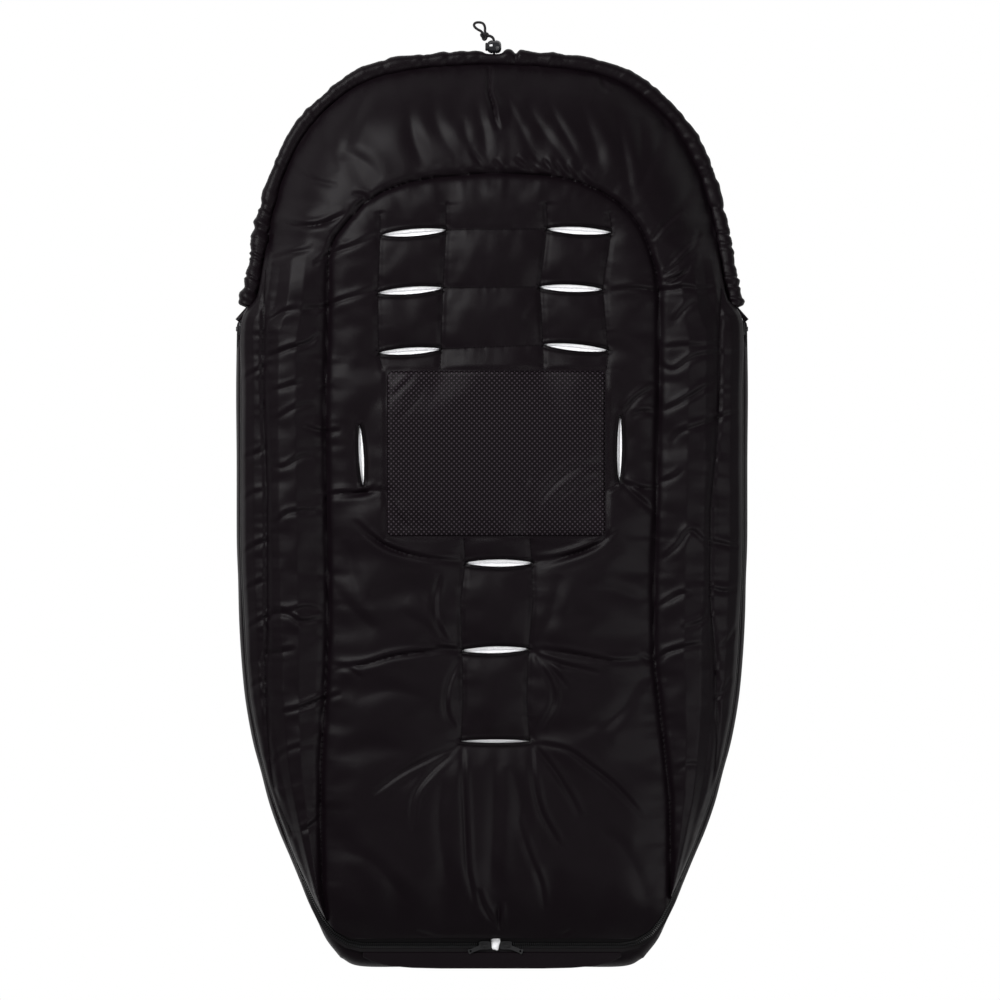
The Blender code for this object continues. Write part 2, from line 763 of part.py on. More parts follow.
def notched_hem_line():
    """The same line with the notch where the cord leaves, and extra stations beside it."""
    points, normals = hem_line()
    points = [point.copy() for point in points]
    bottom = points[0] - Vector((0, HEM_NOTCH_DEPTH, 0))
    beside = points[0] + Vector((HEM_NOTCH_HALF_WIDTH + HEM_NOTCH_RUN, 0, 0))
    corner = bottom + Vector((HEM_NOTCH_HALF_WIDTH, 0, 0))
    points = [bottom, corner, beside, *points[1:]]
    normals = [normals[0], normals[0], normals[0], *normals[1:]]
    return points, normals


def ring_points(centre, normal, radius, count):
    spots = []
    for step in range(count):
        angle = math.tau * (step + 0.5) / count
        side = normal * (math.cos(angle) * radius)
        rise = Vector((0, 0, math.sin(angle) * radius))
        spots.append(centre + side + rise)
    return spots


def build_hem(coat):
    points, normals = notched_hem_line()
    sides = 8
    radii = []
    for index in range(len(points)):
        radii.append(HEM_RADIUS if index % 2 else HEM_GATHER_RADIUS)
    radii[0] = HEM_NOTCH_RADIUS
    radii[1] = HEM_NOTCH_RADIUS
    right = list(zip(points, normals, radii))
    left = [(mirrored(point, -1), mirrored(normal, -1), radius) for point, normal, radius in right[1:]]
    line = [*reversed(left), *right]
    mesh = bmesh.new()
    outer = [[mesh.verts.new(p) for p in ring_points(c, n, r, sides)] for c, n, r in line]
    inner = [[mesh.verts.new(p) for p in ring_points(c, n, HEM_BORE_RADIUS, sides)] for c, n, r in line]
    for rings in (outer, inner):
        for first, second in zip(rings, rings[1:]):
            for here, after in zip(range(sides), [*range(1, sides), 0]):
                mesh.faces.new((first[here], first[after], second[after], second[here]))
    for end in (0, -1):
        for here, after in zip(range(sides), [*range(1, sides), 0]):
            mesh.faces.new((outer[end][here], outer[end][after], inner[end][after], inner[end][here]))
    casing = add_object("hem_casing", mesh, coat, smooth=True)
    notch = points[0]
    half_width = CORD_RADIUS + NEIGHBOUR_GAP
    half_height = CORD_PITCH / 2 + half_width
    outline = (
        (CORD_X - half_width, -half_height), (CORD_X + half_width, -half_height),
        (CORD_X + half_width, half_height), (CORD_X - half_width, half_height),
    )
    exit_hole = extrude_outline(outline, 0, HEM_RADIUS * 2, (1, 0, 0), (0, 0, 1), (0, 1, 0))
    cutter = add_cutter("cord_exit_cutter", exit_hole, Matrix.Translation(notch))
    add_boolean(casing, cutter, "DIFFERENCE")


def build_drawcords(coat):
    points, normals = notched_hem_line()
    for side, word in ((1, "right"), (-1, "left")):
        start = Vector((CORD_X * side + CORD_HALF_PARTING, points[0].y, points[0].z))
        line = [mirrored(point, side) for point in (start, *points[1:])]
        cord_tube(f"drawcord_{word}", line, CORD_RADIUS, coat)


# Surround

def surround_rows():
    """Seam point, outer edge point and outer height of every right-hand row."""
    hem_points, hem_normals = hem_line()
    seam = [Vector((0, ARCH_TOP_SHARE * HALF_LENGTH, 0)), *[plan(pair) for pair in ARCH_SHARES]]
    rows = []
    for point, step in zip(seam, SURROUND_HEM_STEPS):
        edge = hem_points[step] - hem_normals[step] * (HEM_RADIUS + NEIGHBOUR_GAP)
        rows.append((point, Vector((edge.x, edge.y, hem_points[step].z)), 1.0))
    for pair, fall in zip(SURROUND_SIDE_SHARES, SEAM_FALL_SHARES):
        inner, outer, rise = pair
        edge = plan(outer)
        edge.z = OUTER_SEAM_HEIGHT * rise
        rows.append((plan(inner), edge, fall))
    stations = zip_stations(0)
    corner = panel_edge_spot(stations[CORNER_STATIONS[0]])
    before = panel_edge_spot(stations[CORNER_STATIONS[0] - 1])
    seam_end = plan(PANEL_SIDE_SHARES[-1]).lerp(corner, 0.7)
    rows.append((seam_end, before.lerp(corner, 0.5), 0.45))
    return rows


def surround_spot(row, index, share):
    seam, edge, fall = row
    hood = 1 - ease((index - len(SURROUND_HEM_STEPS) + 2) / 3)
    gap = NEIGHBOUR_GAP / 2
    run = Vector((edge.x - seam.x, edge.y - seam.y, 0))
    inward = run.normalized() * gap
    first = Vector((seam.x, seam.y, 0)) + inward
    last = Vector((edge.x, edge.y, 0)) - inward
    if index < ARCH_ROW_COUNT:
        first = Vector((seam.x + (gap if seam.x else 0), seam.y + gap, 0))
    place = first.lerp(last, share)
    foot_top = ZIP_FOOT_HEIGHT + EDGE_THICKNESS / 2
    seam_top = blend(foot_top, SEAM_HEIGHT, fall)
    seam_bottom = blend(foot_top - EDGE_THICKNESS, BACK_UNDERSIDE, fall)
    edge_top = edge.z + EDGE_THICKNESS / 2
    edge_bottom = edge.z - EDGE_THICKNESS / 2
    hood_share = share ** HOOD_CURVE
    crown = SIDE_CROWN * 4 * share * (1 - share) * min(run.length / (HALF_WIDTH / 4), 1)
    hood_top = blend(seam_top, edge_top, hood_share)
    side_top = blend(seam_top, edge_top, share) + crown
    hood_bottom = blend(seam_bottom, edge_bottom, hood_share)
    side_bottom = blend(seam_bottom, edge_bottom, share * share)
    top = blend(side_top, hood_top, hood)
    bottom = blend(side_bottom, hood_bottom, hood)
    return Vector((place.x, place.y, top)), Vector((place.x, place.y, bottom))


def build_surround(coats):
    rows = surround_rows()
    last = len(rows) - 1
    hood = len(SURROUND_HEM_STEPS) - 1
    spots = surround_grid(rows, range(-last, last + 1))
    quilt_skins("surround", spots, surround_cells(range(-last, last)), coats)
    quilt_filling("hood_wadding", spots, surround_cells(range(-hood, hood)), coats)
    for side, word in ((1, "right"), (-1, "left")):
        indices = sorted(side * index for index in range(hood, last + 1))
        spots = surround_grid(rows, indices)
        first, second = side * hood, side * (hood + 1)
        for step in range(len(SURROUND_CROSS_SHARES)):
            spots[(first, step)] = drawn_back(spots[(first, step)], spots[(second, step)])
        quilt_filling(f"side_wadding_{word}", spots, surround_cells(indices[:-1]), coats)


def surround_grid(rows, indices):
    spots = {}
    for index in indices:
        side = -1 if index < 0 else 1
        for step, share in enumerate(SURROUND_CROSS_SHARES):
            outer, inner = surround_spot(rows[abs(index)], abs(index), share)
            spots[(index, step)] = (mirrored(outer, side), mirrored(inner, side))
    return spots


def surround_cells(indices):
    cells = []
    for index in indices:
        for step in range(len(SURROUND_CROSS_SHARES) - 1):
            corners = ((index, step), (index + 1, step), (index + 1, step + 1), (index, step + 1))
            cells.extend(split_cell(*corners))
    return cells


def drawn_back(pair, towards):
    """Moves a pair of points one gap towards the next pair."""
    share = NEIGHBOUR_GAP * 2 / (towards[0] - pair[0]).length
    return tuple(blend(here, there, share) for here, there in zip(pair, towards))


# Gussets

def seam_height_at(y):
    """Height of the outer seam at a place along it."""
    seam = [(plan(pair[1]), pair[2]) for pair in SURROUND_SIDE_SHARES]
    for (first, high), (second, low) in zip(seam, seam[1:]):
        if first.y >= y >= second.y:
            share = (first.y - y) / (first.y - second.y)
            return first.lerp(second, share).x, blend(high, low, share) * OUTER_SEAM_HEIGHT
    return seam[0][0].x, seam[0][1] * OUTER_SEAM_HEIGHT


def gusset_section(y, end_x, end_z, upright):
    """Eight points round the gusset at one place along the side."""
    seam_x, seam_z = seam_height_at(y)
    start = seam_x + NEIGHBOUR_GAP / 2
    half = EDGE_THICKNESS / 2
    if upright:
        turn = EDGE_THICKNESS * 0.6
        width = end_x - start
        outer_turn = Vector((end_x + half, y, end_z + turn))
        inner_turn = Vector((end_x - half, y, end_z + turn / 3))
        outer = [Vector((start, y, seam_z + half)),
                 Vector((start + width * 0.6, y, blend(seam_z, end_z, 0.2) + half)),
                 outer_turn, Vector((end_x + half, y, end_z))]
        inner = [Vector((end_x - half, y, end_z)), inner_turn,
                 Vector((start + (width - half) * 0.5, y, blend(seam_z, end_z, 0.3) - half)),
                 Vector((start, y, seam_z - half))]
        return [*outer, *inner]
    outer = []
    inner = []
    for share in (0.0, 0.35, 0.70, 1.0):
        x = blend(start, end_x, share)
        z = blend(seam_z, end_z, share)
        outer.append(Vector((x, y, z + half)))
        inner.append(Vector((x, y, z - half)))
    return [*outer, *reversed(inner)]


def build_gussets(coat):
    stations = zip_stations(0)
    for side, word in ((1, "right"), (-1, "left")):
        sections = []
        for y_share, x_share in GUSSET_HEM_SHARES:
            y = y_share * HALF_LENGTH
            seam_x, seam_z = seam_height_at(y)
            sections.append(gusset_section(y, x_share * HALF_WIDTH, seam_z - EDGE_THICKNESS / 2, False))
        top_edge = stations[0][0].z + ZIP_TAPE_END + NEIGHBOUR_GAP
        sections.append(gusset_section(GUSSET_TOP_SHARE * HALF_LENGTH, stations[0][0].x, top_edge, True))
        for index in GUSSET_STATIONS:
            spot, across, facing, normal, angle = stations[index]
            rise = math.sin(angle) * ZIP_TAPE_END + math.cos(angle) * ZIP_TAPE_THICKNESS / 2
            sections.append(gusset_section(spot.y, spot.x, spot.z + rise + NEIGHBOUR_GAP, True))
        turned = [[mirrored(point, side) for point in section] for section in sections]
        add_object(f"gusset_{word}", sweep_sections(turned), coat, smooth=True)


# Front cover

def cover_profile(station, reach_share, run_share, top_limit):
    """Outer and inner points of the cover's wall, from the zip down to the floor panel."""
    run = COVER_FLOOR_RUN * run_share
    spot, across, facing, normal, angle = station
    reach = blend(COVER_SIDE_REACH, COVER_FOOT_REACH, reach_share)
    fold_out = plan(ZIP_SHARES[-1]).y - COVER_FOLD_Y
    lean = math.sqrt(COVER_FOLD_RADIUS ** 2 - (COVER_FOLD_RADIUS * 0.955) ** 2)
    half = EDGE_THICKNESS / 2
    tape_drop = math.sin(angle) * ZIP_TAPE_END + math.cos(angle) * ZIP_TAPE_THICKNESS / 2
    top = min(spot.z - tape_drop - NEIGHBOUR_GAP, top_limit)
    out_top = blend(half, fold_out + lean, reach_share)
    out_low = blend(-half * 1.6, fold_out + lean, reach_share)
    middle = COVER_BULGE_HEIGHT
    outer = [
        (out_top, top), (blend(out_top, reach, 0.75), blend(top, middle, 0.5)), (reach, middle),
        (blend(out_low, reach, 0.75), middle / 2), (out_low, middle / 20),
        (out_low - run, 0),
    ]
    in_top = blend(-half, out_top - EDGE_THICKNESS * 1.3, reach_share)
    drop = EDGE_THICKNESS * 0.8 * reach_share
    fall = half * 2 * reach_share
    inner = [
        (in_top, top - drop), (in_top - half, top - half - drop), (in_top - half * 2, middle + half + fall / 2),
        (in_top - half * 3, middle + half / 2), (in_top - half * 6, middle + half / 2),
        (out_low - run - half * 2, COVER_PADDING),
    ]
    ground = Vector((spot.x, spot.y, 0))
    points = []
    for (out, high), (inset, deep) in zip(outer, inner):
        points.append((ground + normal * out + Vector((0, 0, high)),
                       ground + normal * inset + Vector((0, 0, deep))))
    return points


def build_cover(coats, fold):
    stations = zip_stations(0)
    top_limit = COVER_FOLD_RADIUS * 1.955
    right = [stations[index] for index in (*COVER_STATIONS, *COVER_FOOT_STATIONS)]
    right.append(stations[-1])
    shares = zip(right, COVER_REACH_SHARES, COVER_RUN_SHARES)
    walls = [cover_profile(*pair, top_limit) for pair in shares]
    side_count = len(COVER_STATIONS)
    last_step = len(walls[0]) - 1
    total = len(walls)
    spots = {}
    cells = []
    for index in range(total):
        for step, (outer, inner) in enumerate(walls[index]):
            spots[(1, index, step)] = (outer, inner)
            if index < total - 1:
                spots[(-1, index, step)] = (mirrored(outer, -1), mirrored(inner, -1))
    for side in (1, -1):
        for index in range(total - 1):
            after = (side, index + 1) if index + 1 < total - 1 else (1, index + 1)
            for step in range(last_step):
                first = (side, index, step)
                second = (*after, step)
                third = (*after, step + 1)
                fourth = (side, index, step + 1)
                corners = (first, second, third, fourth) if side > 0 else (fourth, third, second, first)
                cells.extend(split_cell(*corners))
    add_cover_floor(spots, cells, side_count, total, last_step)
    quilt_panel("cover", spots, cells, coats, fold)
    build_binding(spots, side_count, coats[0], fold)


def floor_key(row, column, side_count, total, last_step):
    """Grid key of the floor panel, shared with the wall where they meet."""
    reach = total - side_count
    side = 1 if column >= 0 else -1
    if row == side_count - 1:
        index = total - 1 - abs(column)
        return (1 if index == total - 1 else side, index, last_step)
    if abs(column) == reach:
        return (side, row, last_step)
    return ("floor", row, column)


def add_cover_floor(spots, cells, side_count, total, last_step):
    reach = total - side_count
    for row in range(side_count):
        edge_outer, edge_inner = spots[(1, row, last_step)]
        for column in range(-reach, reach + 1):
            key = floor_key(row, column, side_count, total, last_step)
            if key in spots:
                continue
            share = column / reach
            rise = COVER_ARCH_RISE * COVER_ARCH_SHARES[row] * (1 - share * share)
            padding = blend(EDGE_THICKNESS, COVER_PADDING, COVER_EDGE_SHARES[row])
            y = edge_outer.y + rise
            spots[key] = (Vector((edge_outer.x * share, y, 0)),
                          Vector((edge_inner.x * share, y, padding)))
    for row in range(side_count - 1):
        for column in range(-reach, reach):
            corners = [floor_key(r, c, side_count, total, last_step)
                       for r, c in ((row, column), (row, column + 1), (row + 1, column + 1), (row + 1, column))]
            cells.extend(split_cell(*corners))


def build_binding(spots, side_count, coat, fold):
    """Bound edge along the cover's open top."""
    line = [spots[key][0] for key in spots if key[0] == "floor" and key[1] == 0]
    line = sorted(line, key=lambda point: point.x)
    sections = []
    for point in line:
        near = point.y + NEIGHBOUR_GAP
        far = near + BINDING_WIDTH
        sections.append([Vector((point.x, near, 0)), Vector((point.x, far, 0)),
                         Vector((point.x, far, BINDING_THICKNESS)), Vector((point.x, near, BINDING_THICKNESS))])
    add_object("cover_top_binding", sweep_sections(sections), coat, fold)


def build_foot_strip(coat):
    """Fabric strip between the foot zip and the fold, held up with the back."""
    near = plan(ZIP_SHARES[-1]).y - ZIP_TAPE_END - NEIGHBOUR_GAP
    far = -HALF_LENGTH
    reach = STRIP_HALF_LENGTH
    depth = near - far
    outline = [(-reach, near)]
    for share_x, share_y in ((1.0, 0.30), (0.92, 0.62), (0.80, 0.84), (0.62, 0.96), (0.40, 1.0)):
        outline.append((-reach * share_x, near - depth * share_y))
    for share_x, share_y in ((0.40, 1.0), (0.62, 0.96), (0.80, 0.84), (0.92, 0.62), (1.0, 0.30)):
        outline.append((reach * share_x, near - depth * share_y))
    outline.append((reach, near))
    mesh = extrude_outline(outline, STRIP_BOTTOM, STRIP_BOTTOM + STRIP_THICKNESS)
    strip = add_object("foot_strip", mesh, coat)
    add_bevel(strip, STRIP_THICKNESS / 3)


def build_patch(coat):
    """Flat grip patch with rounded corners."""
    middle = (PATCH_TOP_Y + PATCH_BOTTOM_Y) / 2
    half_length = (PATCH_TOP_Y - PATCH_BOTTOM_Y) / 2
    outline = []
    for start, side_x, side_y in ((0, 1, 1), (1, -1, 1), (2, -1, -1), (3, 1, -1)):
        for step in range(4):
            angle = (start + step / 3) * math.pi / 2
            x = side_x * (PATCH_HALF_WIDTH - PATCH_CORNER) + math.cos(angle) * PATCH_CORNER
            y = middle + side_y * (half_length - PATCH_CORNER) + math.sin(angle) * PATCH_CORNER
            outline.append((x, y))
    bottom = PATCH_BED_HEIGHT + NEIGHBOUR_GAP
    mesh = extrude_outline(outline, bottom, bottom + PATCH_THICKNESS)
    add_object("anti_slip_patch", mesh, coat)


# Sliders and pulls

def slider_frame(place, travel, facing):
    """Local X along the chain, local Z away from it."""
    along = Vector(travel)
    up = Vector(facing)
    side = up.cross(along)
    frame = Matrix((along, side, up)).transposed().to_4x4()
    frame.translation = place
    return frame


def comb_outline(half_width, half_post, post_end):
    """Plan of a hollow that leaves a post standing in its middle."""
    reach = SLIDER_LENGTH
    return (
        (-reach, -half_width), (reach, -half_width), (reach, half_width), (-reach, half_width),
        (-reach, half_post), (post_end, half_post), (post_end, -half_post), (-reach, -half_post),
    )


def build_slider(name, frame, coat):
    half_rows = ZIP_ROW_THICKNESS / 2 + SLIDER_CLEARANCE
    half_height = half_rows + SLIDER_PLATE
    nose = SLIDER_LENGTH / 2
    wide = SLIDER_WIDTH / 2
    narrow = SLIDER_NOSE_WIDTH / 2
    shoulder = SLIDER_LENGTH / 4
    outline = (
        (-nose, -narrow), (-shoulder, -wide), (shoulder, -wide), (nose, -narrow),
        (nose, narrow), (shoulder, wide), (-shoulder, wide), (-nose, narrow),
    )
    body = add_object(name, extrude_outline(outline, -half_height, half_height), coat)
    body.matrix_world = frame
    add_bevel(body, SLIDER_BEVEL)
    hollow_half = ZIP_ROW_END + SLIDER_CLEARANCE
    post_end = SLIDER_POST_LENGTH - nose
    comb = comb_outline(hollow_half, SLIDER_POST_WIDTH / 2, post_end)
    hollow = extrude_outline(comb, -half_rows, half_rows)
    add_boolean(body, add_cutter(f"{name}_hollow", hollow, frame), "DIFFERENCE")
    slot_half = ZIP_TAPE_THICKNESS / 2 + SLIDER_CLEARANCE
    comb = comb_outline(SLIDER_WIDTH, hollow_half / 2, SLIDER_LENGTH * 0.8)
    slot = extrude_outline(comb, -slot_half, slot_half)
    add_boolean(body, add_cutter(f"{name}_tape_slot", slot, frame), "DIFFERENCE")
    clear = BRIDGE_CLEAR_LENGTH / 2
    outside = clear + BRIDGE_BAR
    foot = half_height - SLIDER_PLATE / 2
    under = half_height + BRIDGE_CLEAR_HEIGHT
    over = under + BRIDGE_BAR
    arch = (
        (-outside, foot), (-clear, foot), (-clear, under), (clear, under),
        (clear, foot), (outside, foot), (outside, over), (-outside, over),
    )
    half_bridge = BRIDGE_WIDTH / 2
    bridge = extrude_outline(arch, -half_bridge, half_bridge, (1, 0, 0), (0, 0, 1), (0, 1, 0))
    add_boolean(body, add_cutter(f"{name}_bridge", bridge, frame), "UNION")
    return half_height


def build_pull(name, place, direction, facing, droop, coat):
    """Flat pull; its local Y is the hinge axis, inside the bridge."""
    along = Vector(direction).normalized()
    up = Vector(facing)
    hinge = up.cross(along)
    tilted = along * math.cos(droop) - up * math.sin(droop)
    lifted = tilted.cross(hinge)
    frame = Matrix((tilted, hinge, lifted)).transposed().to_4x4()
    frame.translation = place
    half = PULL_WIDTH / 2
    waist = PULL_WAIST / 2
    bar = PULL_THICKNESS / 2
    ring_end = bar + PULL_RING_LENGTH
    shoulder = ring_end + PULL_WIDTH / 4
    tip = PULL_LENGTH
    chamfer = PULL_WIDTH / 4
    outline = (
        (-bar, -half), (ring_end, -half), (shoulder, -waist), (tip - half, -waist), (tip - half / 2, -half),
        (tip - chamfer / 2, -half), (tip, -half + chamfer), (tip, half - chamfer), (tip - chamfer / 2, half),
        (tip - half / 2, half), (tip - half, waist), (shoulder, waist), (ring_end, half), (-bar, half),
    )
    plate = add_object(name, extrude_outline(outline, -bar, bar), coat)
    plate.matrix_world = frame
    ring_half = PULL_RING_WIDTH / 2
    ring = (
        (bar, -ring_half), (ring_end - chamfer, -ring_half), (ring_end, -ring_half + chamfer),
        (ring_end, ring_half - chamfer), (ring_end - chamfer, ring_half), (bar, ring_half),
    )
    ring_cut = extrude_outline(ring, -PULL_WIDTH, PULL_WIDTH)
    add_boolean(plate, add_cutter(f"{name}_ring_hole", ring_cut, frame), "DIFFERENCE")
    hole = []
    for step in range(10):
        angle = math.tau * step / 10
        x = tip - PULL_WIDTH / 2 + math.cos(angle) * PULL_TIP_HOLE_RADIUS
        hole.append((x, math.sin(angle) * PULL_TIP_HOLE_RADIUS))
    tip_cut = extrude_outline(hole, -PULL_WIDTH, PULL_WIDTH)
    add_boolean(plate, add_cutter(f"{name}_tip_hole", tip_cut, frame), "DIFFERENCE")


def build_sliders(coat):
    foot_y = plan(ZIP_SHARES[-1]).y
    side_x = plan(ZIP_SHARES[0]).x
    for side, word in ((1, "right"), (-1, "left")):
        outward = Vector((side, 0, 0))
        up = Vector((0, 0, 1))
        headward = Vector((0, 1, 0))
        low_place = Vector((FOOT_OPENING_X + side * SLIDER_SPACING, foot_y, ZIP_FOOT_HEIGHT))
        rise = build_slider(f"lower_slider_{word}", slider_frame(low_place, outward, up), coat)
        rise += PULL_LIFT
        slant = outward * math.cos(PULL_SPREAD) - headward * math.sin(PULL_SPREAD)
        build_pull(f"lower_pull_{word}", low_place + up * rise, slant, up, PULL_DROOP, coat)
        high_place = Vector((side * side_x, UPPER_SLIDER_Y, ZIP_SIDE_HEIGHT))
        build_slider(f"upper_slider_{word}", slider_frame(high_place, -headward, outward), coat)
        build_pull(f"upper_pull_{word}", high_place + outward * rise, -headward, outward, 0, coat)


# Cord end and lock

def build_eyelet(coat):
    points, normals = notched_hem_line()
    near = points[0].y + HEM_NOTCH_RADIUS + NEIGHBOUR_GAP
    mesh = bmesh.new()
    rings = []
    for radius, y in ((EYELET_INNER_RADIUS, near), (EYELET_OUTER_RADIUS, near),
                      (EYELET_OUTER_RADIUS, near + EYELET_THICKNESS), (EYELET_INNER_RADIUS, near + EYELET_THICKNESS)):
        centre = Vector((CORD_X, y, points[0].z))
        ring = []
        for step in range(16):
            angle = math.tau * step / 16
            ring.append(mesh.verts.new(centre + Vector((math.cos(angle) * radius, 0, math.sin(angle) * radius))))
        rings.append(ring)
    for first, second in zip(rings, [*rings[1:], rings[0]]):
        for here, after in zip(range(16), [*range(1, 16), 0]):
            mesh.faces.new((first[here], first[after], second[after], second[here]))
    add_object("cord_eyelet", mesh, coat, smooth=False)


def strand_line(height):
    """From the casing through the lock to the side of the knot."""
    end_x = KNOT_X + KNOT_RADIUS + NEIGHBOUR_GAP
    end_y = KNOT_Y + KNOT_RADIUS / 3
    floor = HEM_FLOOR_HEIGHT
    line = []
    for share_x, share_y in STRAND_SHARES:
        x = blend(CORD_X, end_x, share_x)
        y = blend(CORD_START_Y, end_y, share_y / STRAND_SHARES[-1][1])
        line.append(Vector((x, y, floor + height)))
    return line


def build_cord_end(coat):
    for word, side in (("low", -1), ("high", 1)):
        line = strand_line(side * CORD_PITCH / 2)
        cord_tube(f"cord_strand_{word}", smooth_line(line, 2), CORD_RADIUS, coat)
    knot = bmesh.new()
    bmesh.ops.create_uvsphere(knot, u_segments=12, v_segments=8, radius=KNOT_RADIUS)
    place = Vector((KNOT_X, KNOT_Y, HEM_FLOOR_HEIGHT))
    bmesh.ops.translate(knot, verts=knot.verts[:], vec=place)
    add_object("cord_knot", knot, coat, smooth=True)
    base = Vector((KNOT_X, KNOT_Y + KNOT_RADIUS + NEIGHBOUR_GAP * 2, HEM_FLOOR_HEIGHT))
    line = []
    for share_x, share_y in LOOP_SHARES:
        line.append(base + Vector((share_x * LOOP_WIDTH, share_y * LOOP_LENGTH, 0)))
    cord_tube("cord_loop", smooth_line(line, 2), LOOP_RADIUS, coat)


def revolve_profile(profile, count):
    """Turns (distance, radius) pairs about the local X axis; the ends are flat."""
    sections = []
    for x, radius in profile:
        ring = []
        for step in range(count):
            angle = math.tau * step / count
            ring.append(Vector((x, math.cos(angle) * radius, math.sin(angle) * radius)))
        sections.append(ring)
    return sweep_sections(sections)


def slot_cutter(name, half_x, frame):
    half_z = LOCK_SLOT_HEIGHT / 2
    reach = LOCK_RADIUS * 2
    low, high = half_x
    outline = ((low, -half_z), (high, -half_z), (high, half_z), (low, half_z))
    mesh = extrude_outline(outline, -reach, reach, (1, 0, 0), (0, 0, 1), (0, 1, 0))
    return add_cutter(name, mesh, frame)


def build_lock(plastic, steel):
    place = Vector((CORD_X, LOCK_Y, HEM_FLOOR_HEIGHT))
    frame = Matrix.Translation(place)
    radius = LOCK_RADIUS
    profile = [(-radius * 0.90, radius * 0.72), (-radius * 0.66, radius * 0.90), (-radius * 0.22, radius),
               (radius * 0.30, radius), (radius * 0.74, radius * 0.90), (radius, radius * 0.66),
               (radius * 1.09, radius * 0.30)]
    barrel = add_object("lock_barrel", revolve_profile(profile, 20), plastic, smooth=True)
    barrel.matrix_world = frame
    bore = revolve_profile([(-radius * 2, LOCK_BORE_RADIUS), (LOCK_BORE_DEPTH, LOCK_BORE_RADIUS)], 20)
    add_boolean(barrel, add_cutter("lock_bore", bore, frame), "DIFFERENCE")
    half = LOCK_SLOT_WIDTH / 2
    add_boolean(barrel, slot_cutter("lock_barrel_slot", (-half, half), frame), "DIFFERENCE")
    turn = BUTTON_RADIUS / 6
    ends = [(-BUTTON_OUTER_END, BUTTON_RADIUS - turn), (-BUTTON_OUTER_END + turn, BUTTON_RADIUS),
            (BUTTON_INNER_END, BUTTON_RADIUS)]
    button = add_object("lock_button", revolve_profile(ends, 20), plastic, smooth=True)
    button.matrix_world = frame
    near = CORD_RADIUS + NEIGHBOUR_GAP
    add_boolean(button, slot_cutter("lock_button_slot", (-near - BUTTON_TRAVEL, near), frame), "DIFFERENCE")
    coil = []
    turns = 3
    start = LOCK_BORE_DEPTH - NEIGHBOUR_GAP - SPRING_WIRE_RADIUS - SPRING_LENGTH
    steps = 12
    for step in range(turns * steps + 1):
        angle = math.tau * step / steps
        along = start + SPRING_LENGTH * step / (turns * steps)
        ring = Vector((along, math.cos(angle) * SPRING_RADIUS, math.sin(angle) * SPRING_RADIUS))
        coil.append(place + ring)
    cord_tube("lock_spring", coil, SPRING_WIRE_RADIUS, steel, place)


def main():
    clear_scene()
    nylon = shell_nylon()
    coats = (nylon, quilt_wadding(), fleece_lining())
    tape = zip_tape()
    teeth = zip_teeth()
    paint = slider_paint()
    braid = cord_braid()
    plastic = lock_plastic()
    fold = (0, COVER_FOLD_Y, COVER_FOLD_RADIUS)
    build_centre(coats)
    build_surround(coats)
    build_gussets(nylon)
    build_hem(nylon)
    build_drawcords(braid)
    build_patch(grip_patch())
    build_zips(tape, teeth, fold)
    build_foot_strip(nylon)
    build_cover(coats, fold)
    build_sliders(paint)
    build_eyelet(paint)
    build_cord_end(braid)
    build_lock(plastic, spring_steel())


main()
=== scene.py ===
import functools
import math

import bmesh
import bpy
import numpy as np
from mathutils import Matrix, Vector


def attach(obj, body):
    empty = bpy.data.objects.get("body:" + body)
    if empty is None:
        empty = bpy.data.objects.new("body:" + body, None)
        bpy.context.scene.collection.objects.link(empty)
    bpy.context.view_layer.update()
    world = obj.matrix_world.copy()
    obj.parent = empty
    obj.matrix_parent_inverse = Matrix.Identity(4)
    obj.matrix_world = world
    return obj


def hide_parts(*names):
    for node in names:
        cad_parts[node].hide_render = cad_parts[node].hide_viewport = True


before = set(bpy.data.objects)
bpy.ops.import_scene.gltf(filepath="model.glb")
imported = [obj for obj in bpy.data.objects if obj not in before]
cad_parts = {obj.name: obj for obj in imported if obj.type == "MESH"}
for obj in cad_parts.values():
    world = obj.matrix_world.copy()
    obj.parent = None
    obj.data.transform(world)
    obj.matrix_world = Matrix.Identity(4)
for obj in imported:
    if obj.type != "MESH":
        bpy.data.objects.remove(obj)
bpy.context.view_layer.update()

RANDOM = np.random.default_rng(41)

# Camera straight above, one metre across at the height of the outline
FIELD = 1.0
LENS_MM = 200.0
SENSOR_MM = 36.0
DISTANCE = FIELD * LENS_MM / SENSOR_MM
OUTLINE_HEIGHT = 0.030
CENTRE_X = 0.008
CENTRE_Y = 0.009
PHOTO_MIDDLE = 500
PHOTO_SIZE = 1000

# Plan of the footmuff, as in the CAD
HALF_WIDTH = 0.257
HALF_LENGTH = 0.459
HEM_TOP_SHARE = 0.985
HEM_SHARES = (
    (0.174, 0.981), (0.321, 0.973), (0.414, 0.963), (0.503, 0.946), (0.578, 0.922), (0.668, 0.88), (0.736, 0.838),
    (0.782, 0.797), (0.818, 0.754), (0.848, 0.711), (0.868, 0.669), (0.888, 0.626), (0.901, 0.583), (0.913, 0.54),
    (0.925, 0.496), (0.942, 0.459), (0.9465, 0.437),
)
ZIP_SHARES = (
    (0.975, 0.407), (0.975, 0.261), (0.975, 0.109), (0.975, -0.065), (0.971, -0.153), (0.963, -0.24),
    (0.955, -0.327), (0.94, -0.414), (0.912, -0.501), (0.883, -0.571), (0.848, -0.636), (0.809, -0.697),
    (0.767, -0.758), (0.728, -0.81), (0.695, -0.854), (0.66, -0.892), (0.617, -0.923), (0.562, -0.942),
    (0.508, -0.949), (0.292, -0.949),
)
ZIP_TWISTS = (*[1] * 12, 0.89, 0.73, 0.58, 0.42, 0.27, 0.11, 0, 0)
COVER_ZIP_COUNT = 14
HEM_CORNER = 7
FOOT_CORNER = 17
ZIP_SIDE_HEIGHT = 0.0310
